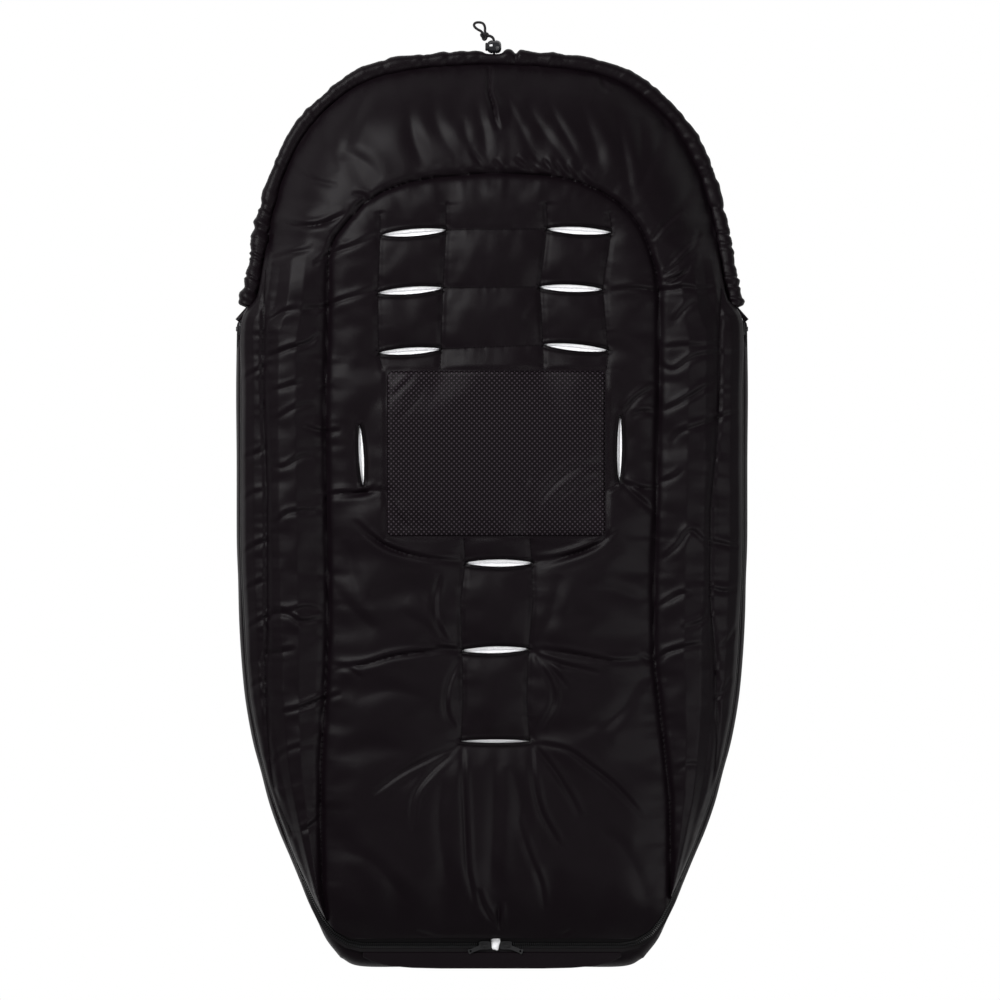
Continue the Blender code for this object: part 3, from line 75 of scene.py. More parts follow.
ZIP_FOOT_HEIGHT = 0.0362
ZIP_HALF_GAP = 0.0006
FOOT_OPENING_X = 0.0035
HEM_RADIUS = 0.0072
HEM_FLOOR_HEIGHT = 0.0072
HEM_END_HEIGHT = 0.0310
HEM_CLIMB_START_Y = 0.3300
HEM_CLIMB_END_Y = 0.2000

# Heights of the back
CREST = 0.0668
SEAM_HEIGHT = 0.0600
OUTER_SEAM_HEIGHT = 0.0500
STITCH_HEIGHT = 0.0620
SIDE_EDGE_HEIGHT = 0.0392
FOOT_EDGE_HEIGHT = 0.0390
UNDERSIDE = 0.0400
EDGE_THICKNESS = 0.0046

# Lines read off the photo, in its own pixels, left foot over the hood to right foot
INNER_SEAM = (
    (328, 930), (322, 893), (321, 829), (321, 765), (325, 701), (328, 638), (328, 574), (326.5, 491), (325, 408),
    (327, 340), (328, 300), (328, 255), (334, 238), (347.6, 220), (364, 203), (382.6, 191), (407, 182),
    (433.7, 177), (491, 172), (548.5, 175), (575, 180), (599.5, 190), (617, 201), (631, 214), (642, 230),
    (650, 249), (656, 270), (659, 293), (659, 380), (657, 478), (654, 574), (654, 657), (663, 733), (670, 797),
    (671, 860), (670, 930),
)
OUTER_SEAM_LEFT = (
    (268, 236), (264.7, 281), (263, 383), (267, 485), (267, 640), (265, 660), (268, 740), (274, 790), (292, 835),
)
OUTER_SEAM_RIGHT = (
    (722, 240), (722, 280), (719, 330), (719, 400), (714, 470), (710, 510), (710, 600), (712.5, 630), (715, 660),
    (717, 740), (712, 790), (697, 835),
)

# Each slot's opening in millimetres and its two ends
SLOTS = (
    (7.0, 382.5, 235, 446.6, 230), (7.0, 547, 229, 611, 232.5), (7.0, 378, 293, 443, 288),
    (7.0, 539, 287, 602, 289.5), (6.5, 379, 353, 441, 349), (6.5, 544, 344.5, 608, 350.6),
    (4.6, 359.6, 425, 363, 486), (4.6, 620, 416, 619, 481), (7.0, 465.5, 563, 533, 563),
    (6.5, 462, 650.5, 528.6, 649), (3.0, 461, 741, 529.5, 741),
)

# Each row of stitches: how deep it pulls the cloth in, in millimetres, and its points
STITCHES = (
    (1.7, 380, 212, 380, 235, 378, 293, 379, 353, 384, 371),
    (2.2, 446, 203, 446, 230, 443, 288, 441, 349, 440, 371),
    (2.2, 546, 203, 547, 229, 540, 287, 543, 345, 543, 371),
    (1.7, 609, 212, 611, 232, 603, 289, 608, 350, 606, 371), (0.7, 446, 230, 547, 229), (0.7, 443, 288, 539, 287),
    (0.8, 441, 349, 544, 345), (2.0, 464, 538, 465, 563, 461, 600, 462, 650, 463, 700, 461, 741),
    (2.0, 530, 538, 532, 563, 533, 600, 529, 649, 527, 700, 530, 741),
)
PATCH = (387, 371, 605, 536)
DOT_PITCH = 0.0050


def from_photo(px, py, height=STITCH_HEIGHT):
    """Plan place of a point of the photo that lies at this height."""
    share = (DISTANCE + OUTLINE_HEIGHT - height) / DISTANCE
    return CENTRE_X + (px - PHOTO_MIDDLE) / PHOTO_SIZE * share, CENTRE_Y + (PHOTO_MIDDLE - py) / PHOTO_SIZE * share


def photo_line(points, height=STITCH_HEIGHT):
    return [from_photo(px, py, height) for px, py in points]


def pairs(values):
    """Points of a row of a table, whose first value isn't one of them."""
    return tuple(zip(values[1::2], values[2::2]))


def ease(value):
    held = np.clip(value, 0.0, 1.0)
    return held * held * (3 - 2 * held)


def bell(offset, width, power=2):
    return np.exp(-(offset / width) ** power)


def plan(pair):
    return Vector((pair[0] * HALF_WIDTH, pair[1] * HALF_LENGTH, 0))


def outward(points):
    """Outward plan directions of a line that runs from head to foot on the right side."""
    found = []
    for index in range(len(points)):
        run = points[min(index + 1, len(points) - 1)] - points[max(index - 1, 0)]
        found.append(Vector((-run.y, run.x, 0)).normalized())
    return found


def run_of(points):
    """How far along a line each of its points is."""
    return np.concatenate([[0], np.cumsum(np.linalg.norm(np.diff(points, axis=0), axis=1))])


def resampled(points, count, steps=12):
    """The same line with evenly spaced points, smooth between the given ones."""
    spots = np.array([tuple(point) for point in points], float)
    ends = np.vstack([2 * spots[0] - spots[1], spots, 2 * spots[-1] - spots[-2]])
    dense = []
    for a, b, c, d in zip(ends, ends[1:], ends[2:], ends[3:]):
        for step in range(steps):
            t = step / steps
            dense.append(0.5 * (2 * b + (c - a) * t + (2 * a - 5 * b + 4 * c - d) * t * t
                                + (3 * b - a - 3 * c + d) * t ** 3))
    dense = np.array([*dense, spots[-1]])
    run = run_of(dense)
    places = np.linspace(0, run[-1], count)
    return np.stack([np.interp(places, run, dense[:, axis]) for axis in range(spots.shape[1])], 1)


def plan_samples(line, count):
    """Evenly spaced points of a plan line."""
    return resampled([(*spot, 0) for spot in line], count)[:, :2]


def hem_line():
    points = [Vector((0, HEM_TOP_SHARE * HALF_LENGTH, 0)), *[plan(pair) for pair in HEM_SHARES]]
    normals = outward(points)
    normals[0] = Vector((0, 1, 0))
    for point in points:
        climb = (HEM_CLIMB_START_Y - point.y) / (HEM_CLIMB_START_Y - HEM_CLIMB_END_Y)
        point.z = HEM_FLOOR_HEIGHT + (HEM_END_HEIGHT - HEM_FLOOR_HEIGHT) * float(ease(climb))
    return points, normals


def zip_line(end_x):
    """Place, across, facing and outward direction of the right-hand zip."""
    points = [plan(pair) for pair in ZIP_SHARES]
    points.append(Vector((end_x, points[-1].y, 0)))
    up = Vector((0, 0, 1))
    stations = []
    for point, normal, twist in zip(points, outward(points), (*ZIP_TWISTS, 0)):
        angle = twist * math.pi / 2
        spot = point + up * (ZIP_FOOT_HEIGHT + (ZIP_SIDE_HEIGHT - ZIP_FOOT_HEIGHT) * twist)
        across = normal * math.cos(angle) - up * math.sin(angle)
        facing = up * math.cos(angle) + normal * math.sin(angle)
        stations.append((spot, across, facing, normal))
    return stations


# Fields over the plan

NOISE_COUNT = 4096
NOISE_SHIFT = 1000.0
TABLE_COUNT = 128
TABLE_SHIFT = 64.0


def signed_field(x, y, line):
    """Distance to a line, negative on its right, and how far along it the nearest point is."""
    best = np.full(x.shape, 1e9)
    along = np.zeros(x.shape)
    hand = np.ones(x.shape)
    start = 0.0
    for (ax, ay), (bx, by) in zip(line, line[1:]):
        dx, dy = bx - ax, by - ay
        length = max(math.hypot(dx, dy), 1e-9)
        share = np.clip(((x - ax) * dx + (y - ay) * dy) / (length * length), 0, 1)
        gap = np.hypot(x - ax - share * dx, y - ay - share * dy)
        nearer = gap < best
        best = np.where(nearer, gap, best)
        along = np.where(nearer, start + share * length, along)
        hand = np.where(nearer, np.where(dx * (y - ay) < dy * (x - ax), -1.0, 1.0), hand)
        start += length
    return best * hand, along, start


def line_field(x, y, line):
    gap, along, length = signed_field(x, y, line)
    return np.abs(gap), along, length


def inside(x, y, line):
    odd = np.zeros(x.shape, bool)
    for (ax, ay), (bx, by) in zip(line, [*line[1:], line[0]]):
        if ay != by:
            odd ^= ((ay > y) != (by > y)) & (x < (bx - ax) * (y - ay) / (by - ay) + ax)
    return odd


def smooth_noise(places, spacing, seed):
    """Smooth random values along a line."""
    values = np.random.default_rng(seed).normal(size=NOISE_COUNT)
    cell = places / spacing + NOISE_SHIFT
    low = np.floor(cell).astype(int)
    share = ease(cell - low)
    return values[low % NOISE_COUNT] * (1 - share) + values[(low + 1) % NOISE_COUNT] * share


def plane_noise(x, y, spacing, seed):
    """Smooth random values over the plan."""
    table = np.random.default_rng(seed).normal(size=(TABLE_COUNT, TABLE_COUNT))
    u, v = x / spacing + TABLE_SHIFT, y / spacing + TABLE_SHIFT
    i, j = np.floor(u).astype(int), np.floor(v).astype(int)
    s, t = ease(u - i), ease(v - j)
    i, j, after_i, after_j = (k % TABLE_COUNT for k in (i, j, i + 1, j + 1))
    near = table[i, j] * (1 - s) + table[after_i, j] * s
    far = table[i, after_j] * (1 - s) + table[after_i, after_j] * s
    return near * (1 - t) + far * t


def bumps(x, y, height, spacing, seed):
    return height * plane_noise(x, y, spacing, seed)


SEAM_LINE = photo_line(INNER_SEAM, SEAM_HEIGHT)
OUTER_LINES = [photo_line(line, OUTER_SEAM_HEIGHT) for line in (OUTER_SEAM_LEFT, OUTER_SEAM_RIGHT)]
STITCH_LINES = [(photo_line(pairs(row)), row[0] / 1000) for row in STITCHES]
SLOT_LINES = [(photo_line(pairs(row)), row[0] / 1000) for row in SLOTS]
PATCH_LEFT, PATCH_TOP = from_photo(*PATCH[:2], CREST)
PATCH_RIGHT, PATCH_BOTTOM = from_photo(*PATCH[2:], CREST)

# Edge of the back, measured from the lines of the hem and the zip
HEM_OVERLAP = HEM_RADIUS * 0.80
HEM_EDGE_RISE = 0.0035
SIDE_EDGE_INSET = 0.0004
FOOT_EDGE_INSET = 0.0066
BACK_COLUMNS = 325
BACK_ROWS = 560
EDGE_STRIDE = 6


def back_outline():
    """Right half of the back's own edge: hood arc, side and foot, with heights."""
    hem = []
    for point, normal in zip(*hem_line()):
        spot = point - normal * HEM_OVERLAP
        spot.z = point.z + HEM_EDGE_RISE
        hem.append(spot)
    side = []
    for spot, across, facing, normal in zip_line(0):
        upright = facing.dot(normal)
        place = spot - normal * (SIDE_EDGE_INSET * upright + FOOT_EDGE_INSET * (1 - upright))
        place.z = FOOT_EDGE_HEIGHT + (SIDE_EDGE_HEIGHT - FOOT_EDGE_HEIGHT) * upright
        side.append(place)
    return hem, side


def mirrored(points):
    return [Vector((-point.x, point.y, point.z)) for point in points]


def four_edges(arc, wall, foot, columns, rows):
    """Evenly sampled edges of a panel, from the right half of its top, side and foot."""
    foot[-1] = Vector((0, foot[-1].y, foot[-1].z))
    top = resampled([*mirrored(reversed(arc[1:])), *arc], columns)
    bottom = resampled([*mirrored(foot[:-1]), *reversed(foot)], columns)
    right = resampled(wall, rows)[::-1]
    return top, bottom, right * np.array([-1, 1, 1]), right


def coons(top, bottom, left, right):
    """Grid of points stretched between four edges, foot row first."""
    u = np.linspace(0, 1, len(top))[None, :, None]
    v = np.linspace(0, 1, len(left))[:, None, None]
    corners = ((1 - u) * (1 - v) * bottom[0] + u * (1 - v) * bottom[-1]
               + (1 - u) * v * top[0] + u * v * top[-1])
    return ((1 - v) * bottom[None] + v * top[None] + (1 - u) * left[:, None] + u * right[:, None] - corners)


def edge_line(top, bottom, left, right):
    return np.vstack([bottom, right[1:], top[::-1][1:], left[::-1][1:-1]])


HEM_SIDE, ZIP_SIDE = back_outline()
EDGES = four_edges(HEM_SIDE[:HEM_CORNER + 1], [*HEM_SIDE[HEM_CORNER:-1], *ZIP_SIDE[:FOOT_CORNER + 1]],
                   ZIP_SIDE[FOOT_CORNER:], BACK_COLUMNS, BACK_ROWS)
EDGE = edge_line(*EDGES)
EDGE_XY = [tuple(point) for point in EDGE[::EDGE_STRIDE, :2]]
EDGE_XY.append(EDGE_XY[0])
EDGE_RUN = run_of(np.array(EDGE_XY))
EDGE_Z = np.append(EDGE[::EDGE_STRIDE, 2], EDGE[0, 2])

# Height of the shell

HOOD_START_Y = 0.215
HOOD_BLEND = 0.06
HOOD_HEIGHT = SEAM_HEIGHT + 0.002
HOOD_FALL = 2.1
SIDE_SHARES = (0, 0.12, 0.35, 0.55, 0.72, 0.85, 0.95, 1.0)
SIDE_HEIGHTS = (0.0600, 0.0630, 0.0660, 0.0638, 0.0556, 0.0522, 0.0462, 0.0395)
CREST_REACH = 0.013
FOOT_Y = -0.4365
FOOT_REACH = 0.065
FOOT_FALL = 2.2
BELOW_FOOT_Y = -0.6


def base_height(x, y):
    """Height of the padded shell without seams or folds, and the fields that it used."""
    seam_gap, seam_run, _ = line_field(x, y, SEAM_LINE)
    edge_gap, edge_run, _ = line_field(x, y, EDGE_XY)
    edge_z = np.interp(edge_run, EDGE_RUN, EDGE_Z)
    within = inside(x, y, [*SEAM_LINE, *[(SEAM_LINE[end][0], BELOW_FOOT_Y) for end in (-1, 0)]])
    share = seam_gap / np.maximum(seam_gap + edge_gap, 1e-6)
    hood = ease((y - HOOD_START_Y) / HOOD_BLEND)
    hood_z = HOOD_HEIGHT - (HOOD_HEIGHT - edge_z) * share ** HOOD_FALL
    side_z = np.interp(share, SIDE_SHARES, SIDE_HEIGHTS)
    out_z = side_z + (hood_z - side_z) * hood
    in_z = SEAM_HEIGHT + (CREST - SEAM_HEIGHT) * (1 - np.exp(-seam_gap / CREST_REACH))
    z = np.where(within, in_z, out_z)
    full = 1 - (1 - np.clip((y - FOOT_Y) / FOOT_REACH, 0, 1)) ** FOOT_FALL
    z = FOOT_EDGE_HEIGHT + (z - FOOT_EDGE_HEIGHT) * np.where(hood > 0, 1, full)
    return z, (seam_gap, seam_run, edge_gap, edge_run, hood)


# Creases read off the photo, each with its depth in millimetres and its points

SHARP_WIDTH = 0.0024
SHARP = (
    # Left side panel
    (2.4, 279, 219, 297, 225, 321, 224, 347, 213), (1.5, 265, 259, 291, 253, 313, 249),
    (1.5, 313, 265, 334, 253, 356, 245, 378, 235), (1.8, 267, 322, 284, 312, 299, 309),
    (1.7, 297, 310, 323, 308, 339, 301, 377, 290), (2.0, 265, 358, 289, 349, 309, 343, 320, 333),
    (1.4, 272, 391, 287, 387, 304, 382), (1.3, 241, 379, 254, 372, 272, 363), (1.0, 320, 391, 334, 386),
    (1.9, 303, 427, 323, 432, 341, 431), (1.3, 272, 467, 285, 467, 302, 457, 312, 457),
    (1.3, 241, 457, 258, 453, 267, 446), (1.8, 277, 522, 289, 513, 309, 511, 323, 510),
    (2.3, 324, 503, 334, 494, 365, 492, 378, 484), (1.5, 330, 498, 350, 496, 376, 491, 398, 491),
    (1.5, 242, 553, 256, 545, 272, 539), (1.8, 265, 608, 289, 611, 306, 608, 323, 611),
    (2.1, 246, 629, 272, 615, 289, 615, 302, 622, 324, 618), (1.5, 262, 654, 280, 652, 296, 649),
    (2.1, 281, 713, 301, 708, 321, 700, 342, 694), (1.6, 291, 832, 306, 829, 322, 816),
    (1.2, 242, 590, 252, 586, 266, 580), (1.0, 243, 500, 252, 494, 265, 490), (1.1, 247, 690, 256, 684, 268, 680),
    (0.9, 270, 770, 285, 752, 318, 742), (1.0, 275, 420, 300, 406, 318, 404),
    # Right side panel
    (1.7, 657, 281, 671, 270, 685, 257, 695, 246, 701, 229), (1.5, 662, 283, 678, 277, 696, 268),
    (1.9, 609, 291, 633, 289, 656, 291, 685, 288, 702, 290, 721, 283), (1.2, 674, 322, 688, 306, 696, 301),
    (1.2, 661, 348, 681, 346, 702, 346, 721, 343), (1.7, 659, 365, 674, 370, 695, 357, 719, 353),
    (2.1, 662, 412, 678, 404, 695, 394, 716, 381), (1.8, 624, 413, 637, 398, 655, 387),
    (1.7, 632, 415, 644, 412, 656, 413), (1.6, 671, 443, 681, 432, 702, 425, 726, 415, 744, 413),
    (2.0, 621, 482, 643, 489, 657, 489), (2.0, 621, 482, 637, 497, 653, 511), (1.6, 619, 483, 606, 491),
    (1.2, 656, 484, 674, 477, 683, 469), (1.6, 662, 560, 678, 546, 690, 531, 702, 539, 712, 542),
    (1.6, 711, 542, 725, 545, 739, 548), (1.8, 709, 587, 723, 592, 737, 590),
    (1.7, 656, 608, 668, 601, 681, 594, 692, 594), (1.5, 681, 629, 702, 622, 712, 608),
    (2.2, 638, 655, 654, 661, 666, 653, 685, 647, 704, 644), (1.2, 720, 648, 730, 640, 740, 622),
    (1.1, 712, 700, 722, 694, 733, 676), (0.9, 676, 770, 690, 764, 708, 768),
    # Middle
    (2.3, 354, 520, 375, 539, 399, 551, 427, 558, 463, 562), (1.4, 368, 532, 385, 546, 410, 556),
    (2.3, 532, 562, 564, 556, 592, 547, 617, 529), (1.5, 540, 566, 570, 556, 606, 541),
    (2.4, 328, 665, 361, 665, 394, 656, 434, 651, 461, 650), (1.2, 333, 670, 348, 669, 362, 678),
    (1.4, 431, 646, 448, 648, 460, 651), (1.7, 530, 650, 557, 663, 600, 673),
    (1.9, 531, 649, 567, 653, 613, 661, 643, 660), (1.3, 531, 652, 551, 668, 567, 688),
    (1.5, 440, 574, 435, 598, 437, 622, 448, 643), (1.4, 461, 655, 448, 685, 447, 713, 458, 732),
    (1.4, 535, 655, 550, 683, 553, 703, 540, 728), (1.5, 382, 486, 392, 505, 406, 525),
    # Foot
    (1.5, 461, 744, 434, 756, 401, 773, 372, 794), (1.2, 458, 747, 431, 772, 414, 796, 411, 829),
    (2.0, 462, 747, 464, 796, 467, 862, 470, 882, 475, 906), (1.5, 531, 745, 533, 773, 540, 809, 560, 846),
    (1.5, 532, 743, 553, 769, 570, 796, 580, 816), (1.6, 533, 743, 566, 749, 587, 763, 616, 786, 643, 816),
    (1.2, 517, 816, 527, 849, 540, 882, 544, 909), (1.8, 477, 888, 484, 908, 494, 924),
    (2.6, 499, 902, 499, 918, 500, 931), (1.0, 415, 932, 436, 938), (1.0, 572, 930, 560, 938),
    # Hood
    (3.2, 489, 58, 489, 77, 489, 90, 493, 104, 495, 118, 499, 130), (1.6, 602, 76, 605, 82, 608, 90),
    (1.0, 470, 150, 478, 160, 486, 170), (1.3, 494, 160, 502, 171), (1.6, 515, 158, 530, 171),
    (1.3, 526, 160, 537, 172), (1.7, 543, 159, 554, 174), (1.7, 553, 161, 564, 177), (1.7, 564, 164, 576, 180),
    (1.5, 578, 172, 590, 186), (1.1, 294, 165, 314, 179, 338, 186), (1.7, 352, 193, 366, 198, 350, 211),
    (1.6, 683, 209, 666, 223, 651, 241), (1.7, 703, 233, 686, 246, 664, 270), (1.6, 697, 253, 683, 273, 663, 288),
)

# Long pleats of the hood
WIDE = (
    (0.8, 473, 91, 480, 115, 485, 135, 487, 160), (0.8, 463, 115, 467, 138, 481, 163),
    (0.9, 504, 91, 521, 128, 534, 155, 551, 170), (0.9, 524, 98, 541, 128, 565, 159, 579, 180),
    (1.0, 544, 87, 555, 115, 571, 145, 589, 182), (0.7, 507, 96, 511, 112, 510, 128),
)
SOFT = (
    (1.6, 372, 79, 358, 108, 348, 138, 341, 160), (1.3, 331, 145, 365, 162, 381, 180),
    (1.7, 615, 105, 622, 145, 629, 182, 633, 211), (1.8, 640, 115, 643, 148, 637, 181),
    (2.2, 668, 112, 659, 145, 649, 166, 638, 192), (1.1, 430, 90, 440, 130, 462, 164),
    (1.3, 408, 100, 414, 140, 424, 168), (1.2, 578, 95, 590, 130, 604, 175), (1.3, 318, 118, 330, 150, 336, 172),
    (1.3, 281, 190, 300, 199, 330, 204), (1.9, 700, 165, 688, 195, 662, 226), (0.8, 449, 240, 459, 262, 450, 284),
    (0.9, 530, 300, 520, 320, 536, 340), (1.3, 334, 587, 354, 611, 376, 630), (1.3, 399, 611, 423, 625, 441, 640),
    (1.3, 585, 590, 616, 590, 645, 602), (1.4, 646, 673, 623, 706, 600, 733), (1.2, 560, 575, 552, 610, 541, 640),
    (1.8, 495, 760, 494, 820, 491, 890), (1.6, 445, 770, 440, 820, 448, 890), (1.4, 510, 765, 520, 800, 521, 840),
    (0.9, 353, 700, 390, 690, 430, 700), (0.9, 340, 850, 372, 862, 410, 905), (0.9, 600, 830, 625, 850, 650, 905),
    (1.0, 345, 540, 352, 570, 360, 600),
)

# Width and gain of each table of creases
FOLDS = ((SHARP_WIDTH, 1.05, SHARP), (0.0042, 1.0, WIDE), (0.0062, 1.0, SOFT))
PATCH_CREASE_WIDTH = SHARP_WIDTH * 1.15
PATCH_CREASES = (
    (1.3, 537, 515, 540, 501, 557, 481, 578, 467, 600, 463), (1.0, 551, 505, 571, 488, 600, 476),
    (1.0, 392, 398, 406, 384, 416, 374), (0.7, 398, 420, 418, 398, 424, 380), (0.8, 525, 470, 527, 478, 524, 488),
    (1.1, 391, 500, 396, 514, 408, 530), (0.7, 585, 505, 594, 512, 603, 524),
)

# Height, place and width of a crease's two ridges, in its own widths
RIDGES = ((0.60, 1.9, 1.25), (0.22, -2.4, 1.8))
CREASE_FADE = 0.6
VALLEY_POWER = 1.7
CREASE_REACH = 5


@functools.cache
def crease_line(row):
    points = pairs(row)
    return [tuple(spot) for spot in plan_samples(photo_line(points, SEAM_HEIGHT), 4 * len(points))]


def crease(z, x, y, row, width, gain=1.0):
    """Adds a fold: a valley with a taller ridge on its left, fading out at its ends."""
    line = crease_line(row)
    xs, ys = zip(*line)
    reach = CREASE_REACH * width
    near = (x > min(xs) - reach) & (x < max(xs) + reach) & (y > min(ys) - reach) & (y < max(ys) + reach)
    if not near.any():
        return
    gap, run, length = signed_field(x[near], y[near], line)
    across = gap / width
    fade = np.sin(np.pi * np.clip(run / length, 0, 1)) ** CREASE_FADE
    ridge = sum(high * bell(across - place, wide) for high, place, wide in RIDGES)
    z[near] += gain * row[0] / 1000 * fade * (ridge - bell(np.abs(across), 1, VALLEY_POWER))


# Spacing, reach, depth and seed of the short wrinkles along each kind of seam
SEAM_PUCKERS = (0.013, 0.012, 0.00060, 11)
HEM_PUCKERS = (0.0110, 0.014, 0.0015, 21)
OUTER_PUCKERS = (0.0105, 0.010, 0.00075, 31)
STITCH_PUCKERS = (0.007, 0.006, 0.00018, 51)

FINER_SHARE = 0.6
FINER_SPACING = 0.47

# Depth and width of the grooves
SEAM_GROOVE = (0.0030, 0.0034)
OUTER_GROOVE = (0.0024, 0.0032)
STITCH_GROOVES = ((1.0, 0.0032), (0.5, 0.012))

# Height, spacing and seed of its large and its small bumps
SHELL_NOISE = ((0.0007, 0.055, 3), (0.00022, 0.024, 5))
EDGE_EASE = 0.006
PUCKER_EASE = 0.004
SEAM_EASE = 0.003
GATHER_START_Y = 0.340
GATHER_BLEND = 0.100
LEAST_GATHER = 0.30
PATCH_EASE = 0.006
PATCH_LEVEL = CREST - 0.0012
PATCH_SHARE = 0.30
PATCH_RIM = (0.0005, 0.001, 0.0026)
STITCH_FADE = 0.15
LENS_POWER = 0.7
SLOT_DIP = (0.0034, 0.011)
SLOT_RIM = (0.0012, 0.0022, 0.0016)


def puckers(gap, run, measures, number=0):
    """Short wrinkles at right angles to a seam."""
    spacing, reach, depth, seed = measures
    seed += number
    finer = FINER_SHARE * smooth_noise(run, spacing * FINER_SPACING, seed + 1)
    wave = smooth_noise(run, spacing, seed) + finer
    return depth * wave * np.exp(-gap / reach)


def folded_height(x, y):
    """Height of the shell with its seams, stitches, slots and folds."""
    z, (seam_gap, seam_run, edge_gap, edge_run, hood) = base_height(x, y)
    rough = sum(bumps(x, y, *measures) for measures in SHELL_NOISE)
    inner = ease(edge_gap / EDGE_EASE)
    folds = np.zeros(x.shape)
    for width, gain, table in FOLDS:
        for row in table:
            crease(folds, x, y, row, width, gain)
    z = z + (rough + folds) * inner
    z = z + puckers(seam_gap, seam_run, SEAM_PUCKERS) * ease(seam_gap / PUCKER_EASE) * inner
    gathered = LEAST_GATHER + (1 - LEAST_GATHER) * ease((GATHER_START_Y - y) / GATHER_BLEND)
    z = z + hood * gathered * puckers(edge_gap, edge_run, HEM_PUCKERS) * ease(edge_gap / SEAM_EASE)
    z = z - SEAM_GROOVE[0] * bell(seam_gap, SEAM_GROOVE[1])
    for number, line in enumerate(OUTER_LINES):
        gap, run, _ = line_field(x, y, line)
        z = z + puckers(gap, run, OUTER_PUCKERS, number) * ease(gap / SEAM_EASE) * inner
        z = z - OUTER_GROOVE[0] * bell(gap, OUTER_GROOVE[1])
    beyond = np.maximum(np.maximum(PATCH_LEFT - x, x - PATCH_RIGHT), np.maximum(PATCH_BOTTOM - y, y - PATCH_TOP))
    flat = ease(beyond / PATCH_EASE)
    for number, (line, depth) in enumerate(STITCH_LINES):
        gap, run, length = line_field(x, y, line)
        fade = np.sin(np.pi * np.clip(run / length, 0, 1)) ** STITCH_FADE
        z = z - sum(share * depth * bell(gap, width) for share, width in STITCH_GROOVES) * flat * fade
        z = z + flat * puckers(gap, run, STITCH_PUCKERS, number)
    patch_plane = PATCH_LEVEL + PATCH_SHARE * (z - PATCH_LEVEL)
    for row in PATCH_CREASES:
        crease(patch_plane, x, y, row, PATCH_CREASE_WIDTH)
    z = np.where(beyond < PATCH_EASE, patch_plane + (z - patch_plane) * flat, z)
    z = z - PATCH_RIM[0] * bell(beyond - PATCH_RIM[1], PATCH_RIM[2])
    for line, opening in SLOT_LINES:
        gap, run, length = line_field(x, y, line)
        away = gap - opening / 2 * np.sin(np.pi * np.clip(run / length, 0, 1)) ** LENS_POWER
        z = z - SLOT_DIP[0] * np.exp(-np.maximum(away, 0) / SLOT_DIP[1])
        z = z + SLOT_RIM[0] * bell(away - SLOT_RIM[1], SLOT_RIM[2])
    return z


# Cloth sheet that swells between the stitches

CLOTH_STEP = 0.005
CLOTH_FRAMES = 18
CLOTH_X = (-0.265, 0.2651)
CLOTH_Y = (-0.445, 0.4551)
CLOTH_JITTER = 0.00015
CLOTH_SETTINGS = {
    "quality": 5, "mass": 0.2, "tension_stiffness": 12, "compression_stiffness": 12, "shear_stiffness": 6,
    "bending_stiffness": 6.0, "vertex_group_mass": "held", "shrink_min": -0.020, "use_pressure": True,
    "uniform_pressure_force": 4.0,
}
HELD_SEAM = 0.004
HELD_EDGE = 0.006
HELD_STITCH = 0.0035
HELD_SLOT = 0.007
LOWEST_SWELL = -0.006
HIGHEST_SWELL = 0.008
SWELL_SHARE = 0.55


def grid_quads(rows, columns):
    index = np.arange(rows * columns).reshape(rows, columns)
    quads = np.stack([index[:-1, :-1], index[:-1, 1:], index[1:, 1:], index[1:, :-1]], -1).reshape(-1, 4)
    return index, quads


def cloth_relief():
    """Plan raster of how far a pinned, swollen sheet moves from the base shape."""
    xs, ys = np.arange(*CLOTH_X, CLOTH_STEP), np.arange(*CLOTH_Y, CLOTH_STEP)
    x, y = np.meshgrid(xs, ys)
    z, (seam_gap, _, edge_gap, _, _) = base_height(x, y)
    held = (seam_gap < HELD_SEAM) | (edge_gap < HELD_EDGE) | ~inside(x, y, EDGE_XY[:-1])
    for line in [*[stitch[0] for stitch in STITCH_LINES], *OUTER_LINES]:
        held |= line_field(x, y, line)[0] < HELD_STITCH
    for line, opening in SLOT_LINES:
        held |= line_field(x, y, line)[0] < HELD_SLOT
    z = z + np.where(held, 0, RANDOM.normal(size=z.shape) * CLOTH_JITTER)
    verts = np.stack([x.ravel(), y.ravel(), z.ravel()], 1)
    data = bpy.data.meshes.new("cloth_sheet")
    data.from_pydata(verts.tolist(), [], grid_quads(*x.shape)[1].tolist())
    sheet = bpy.data.objects.new("cloth_sheet", data)
    scene = bpy.context.scene
    scene.collection.objects.link(sheet)
    group = sheet.vertex_groups.new(name="held")
    group.add(np.flatnonzero(held.ravel()).tolist(), 1.0, "REPLACE")
    cloth = sheet.modifiers.new("Cloth", "CLOTH")
    for key, value in CLOTH_SETTINGS.items():
        setattr(cloth.settings, key, value)
    cloth.settings.effector_weights.gravity = 0.0
    cloth.collision_settings.use_collision = False
    cloth.collision_settings.use_self_collision = False
    cloth.point_cache.frame_start = 1
    cloth.point_cache.frame_end = CLOTH_FRAMES
    for number in range(1, CLOTH_FRAMES + 1):
        scene.frame_set(number)
    shaped = sheet.evaluated_get(bpy.context.evaluated_depsgraph_get()).to_mesh()
    moved = np.zeros(len(shaped.vertices) * 3)
    shaped.vertices.foreach_get("co", moved)
    moved = moved.reshape(-1, 3) - verts
    bpy.data.objects.remove(sheet, do_unlink=True)
    scene.frame_set(1)
    rise = np.clip(moved[:, 2].reshape(x.shape), LOWEST_SWELL, HIGHEST_SWELL)
    wide = np.pad(rise, 1, mode="edge")
    rise = (wide[:-2, 1:-1] + wide[2:, 1:-1] + wide[1:-1, :-2] + wide[1:-1, 2:] + 4 * rise) / 8
    return xs, ys, rise


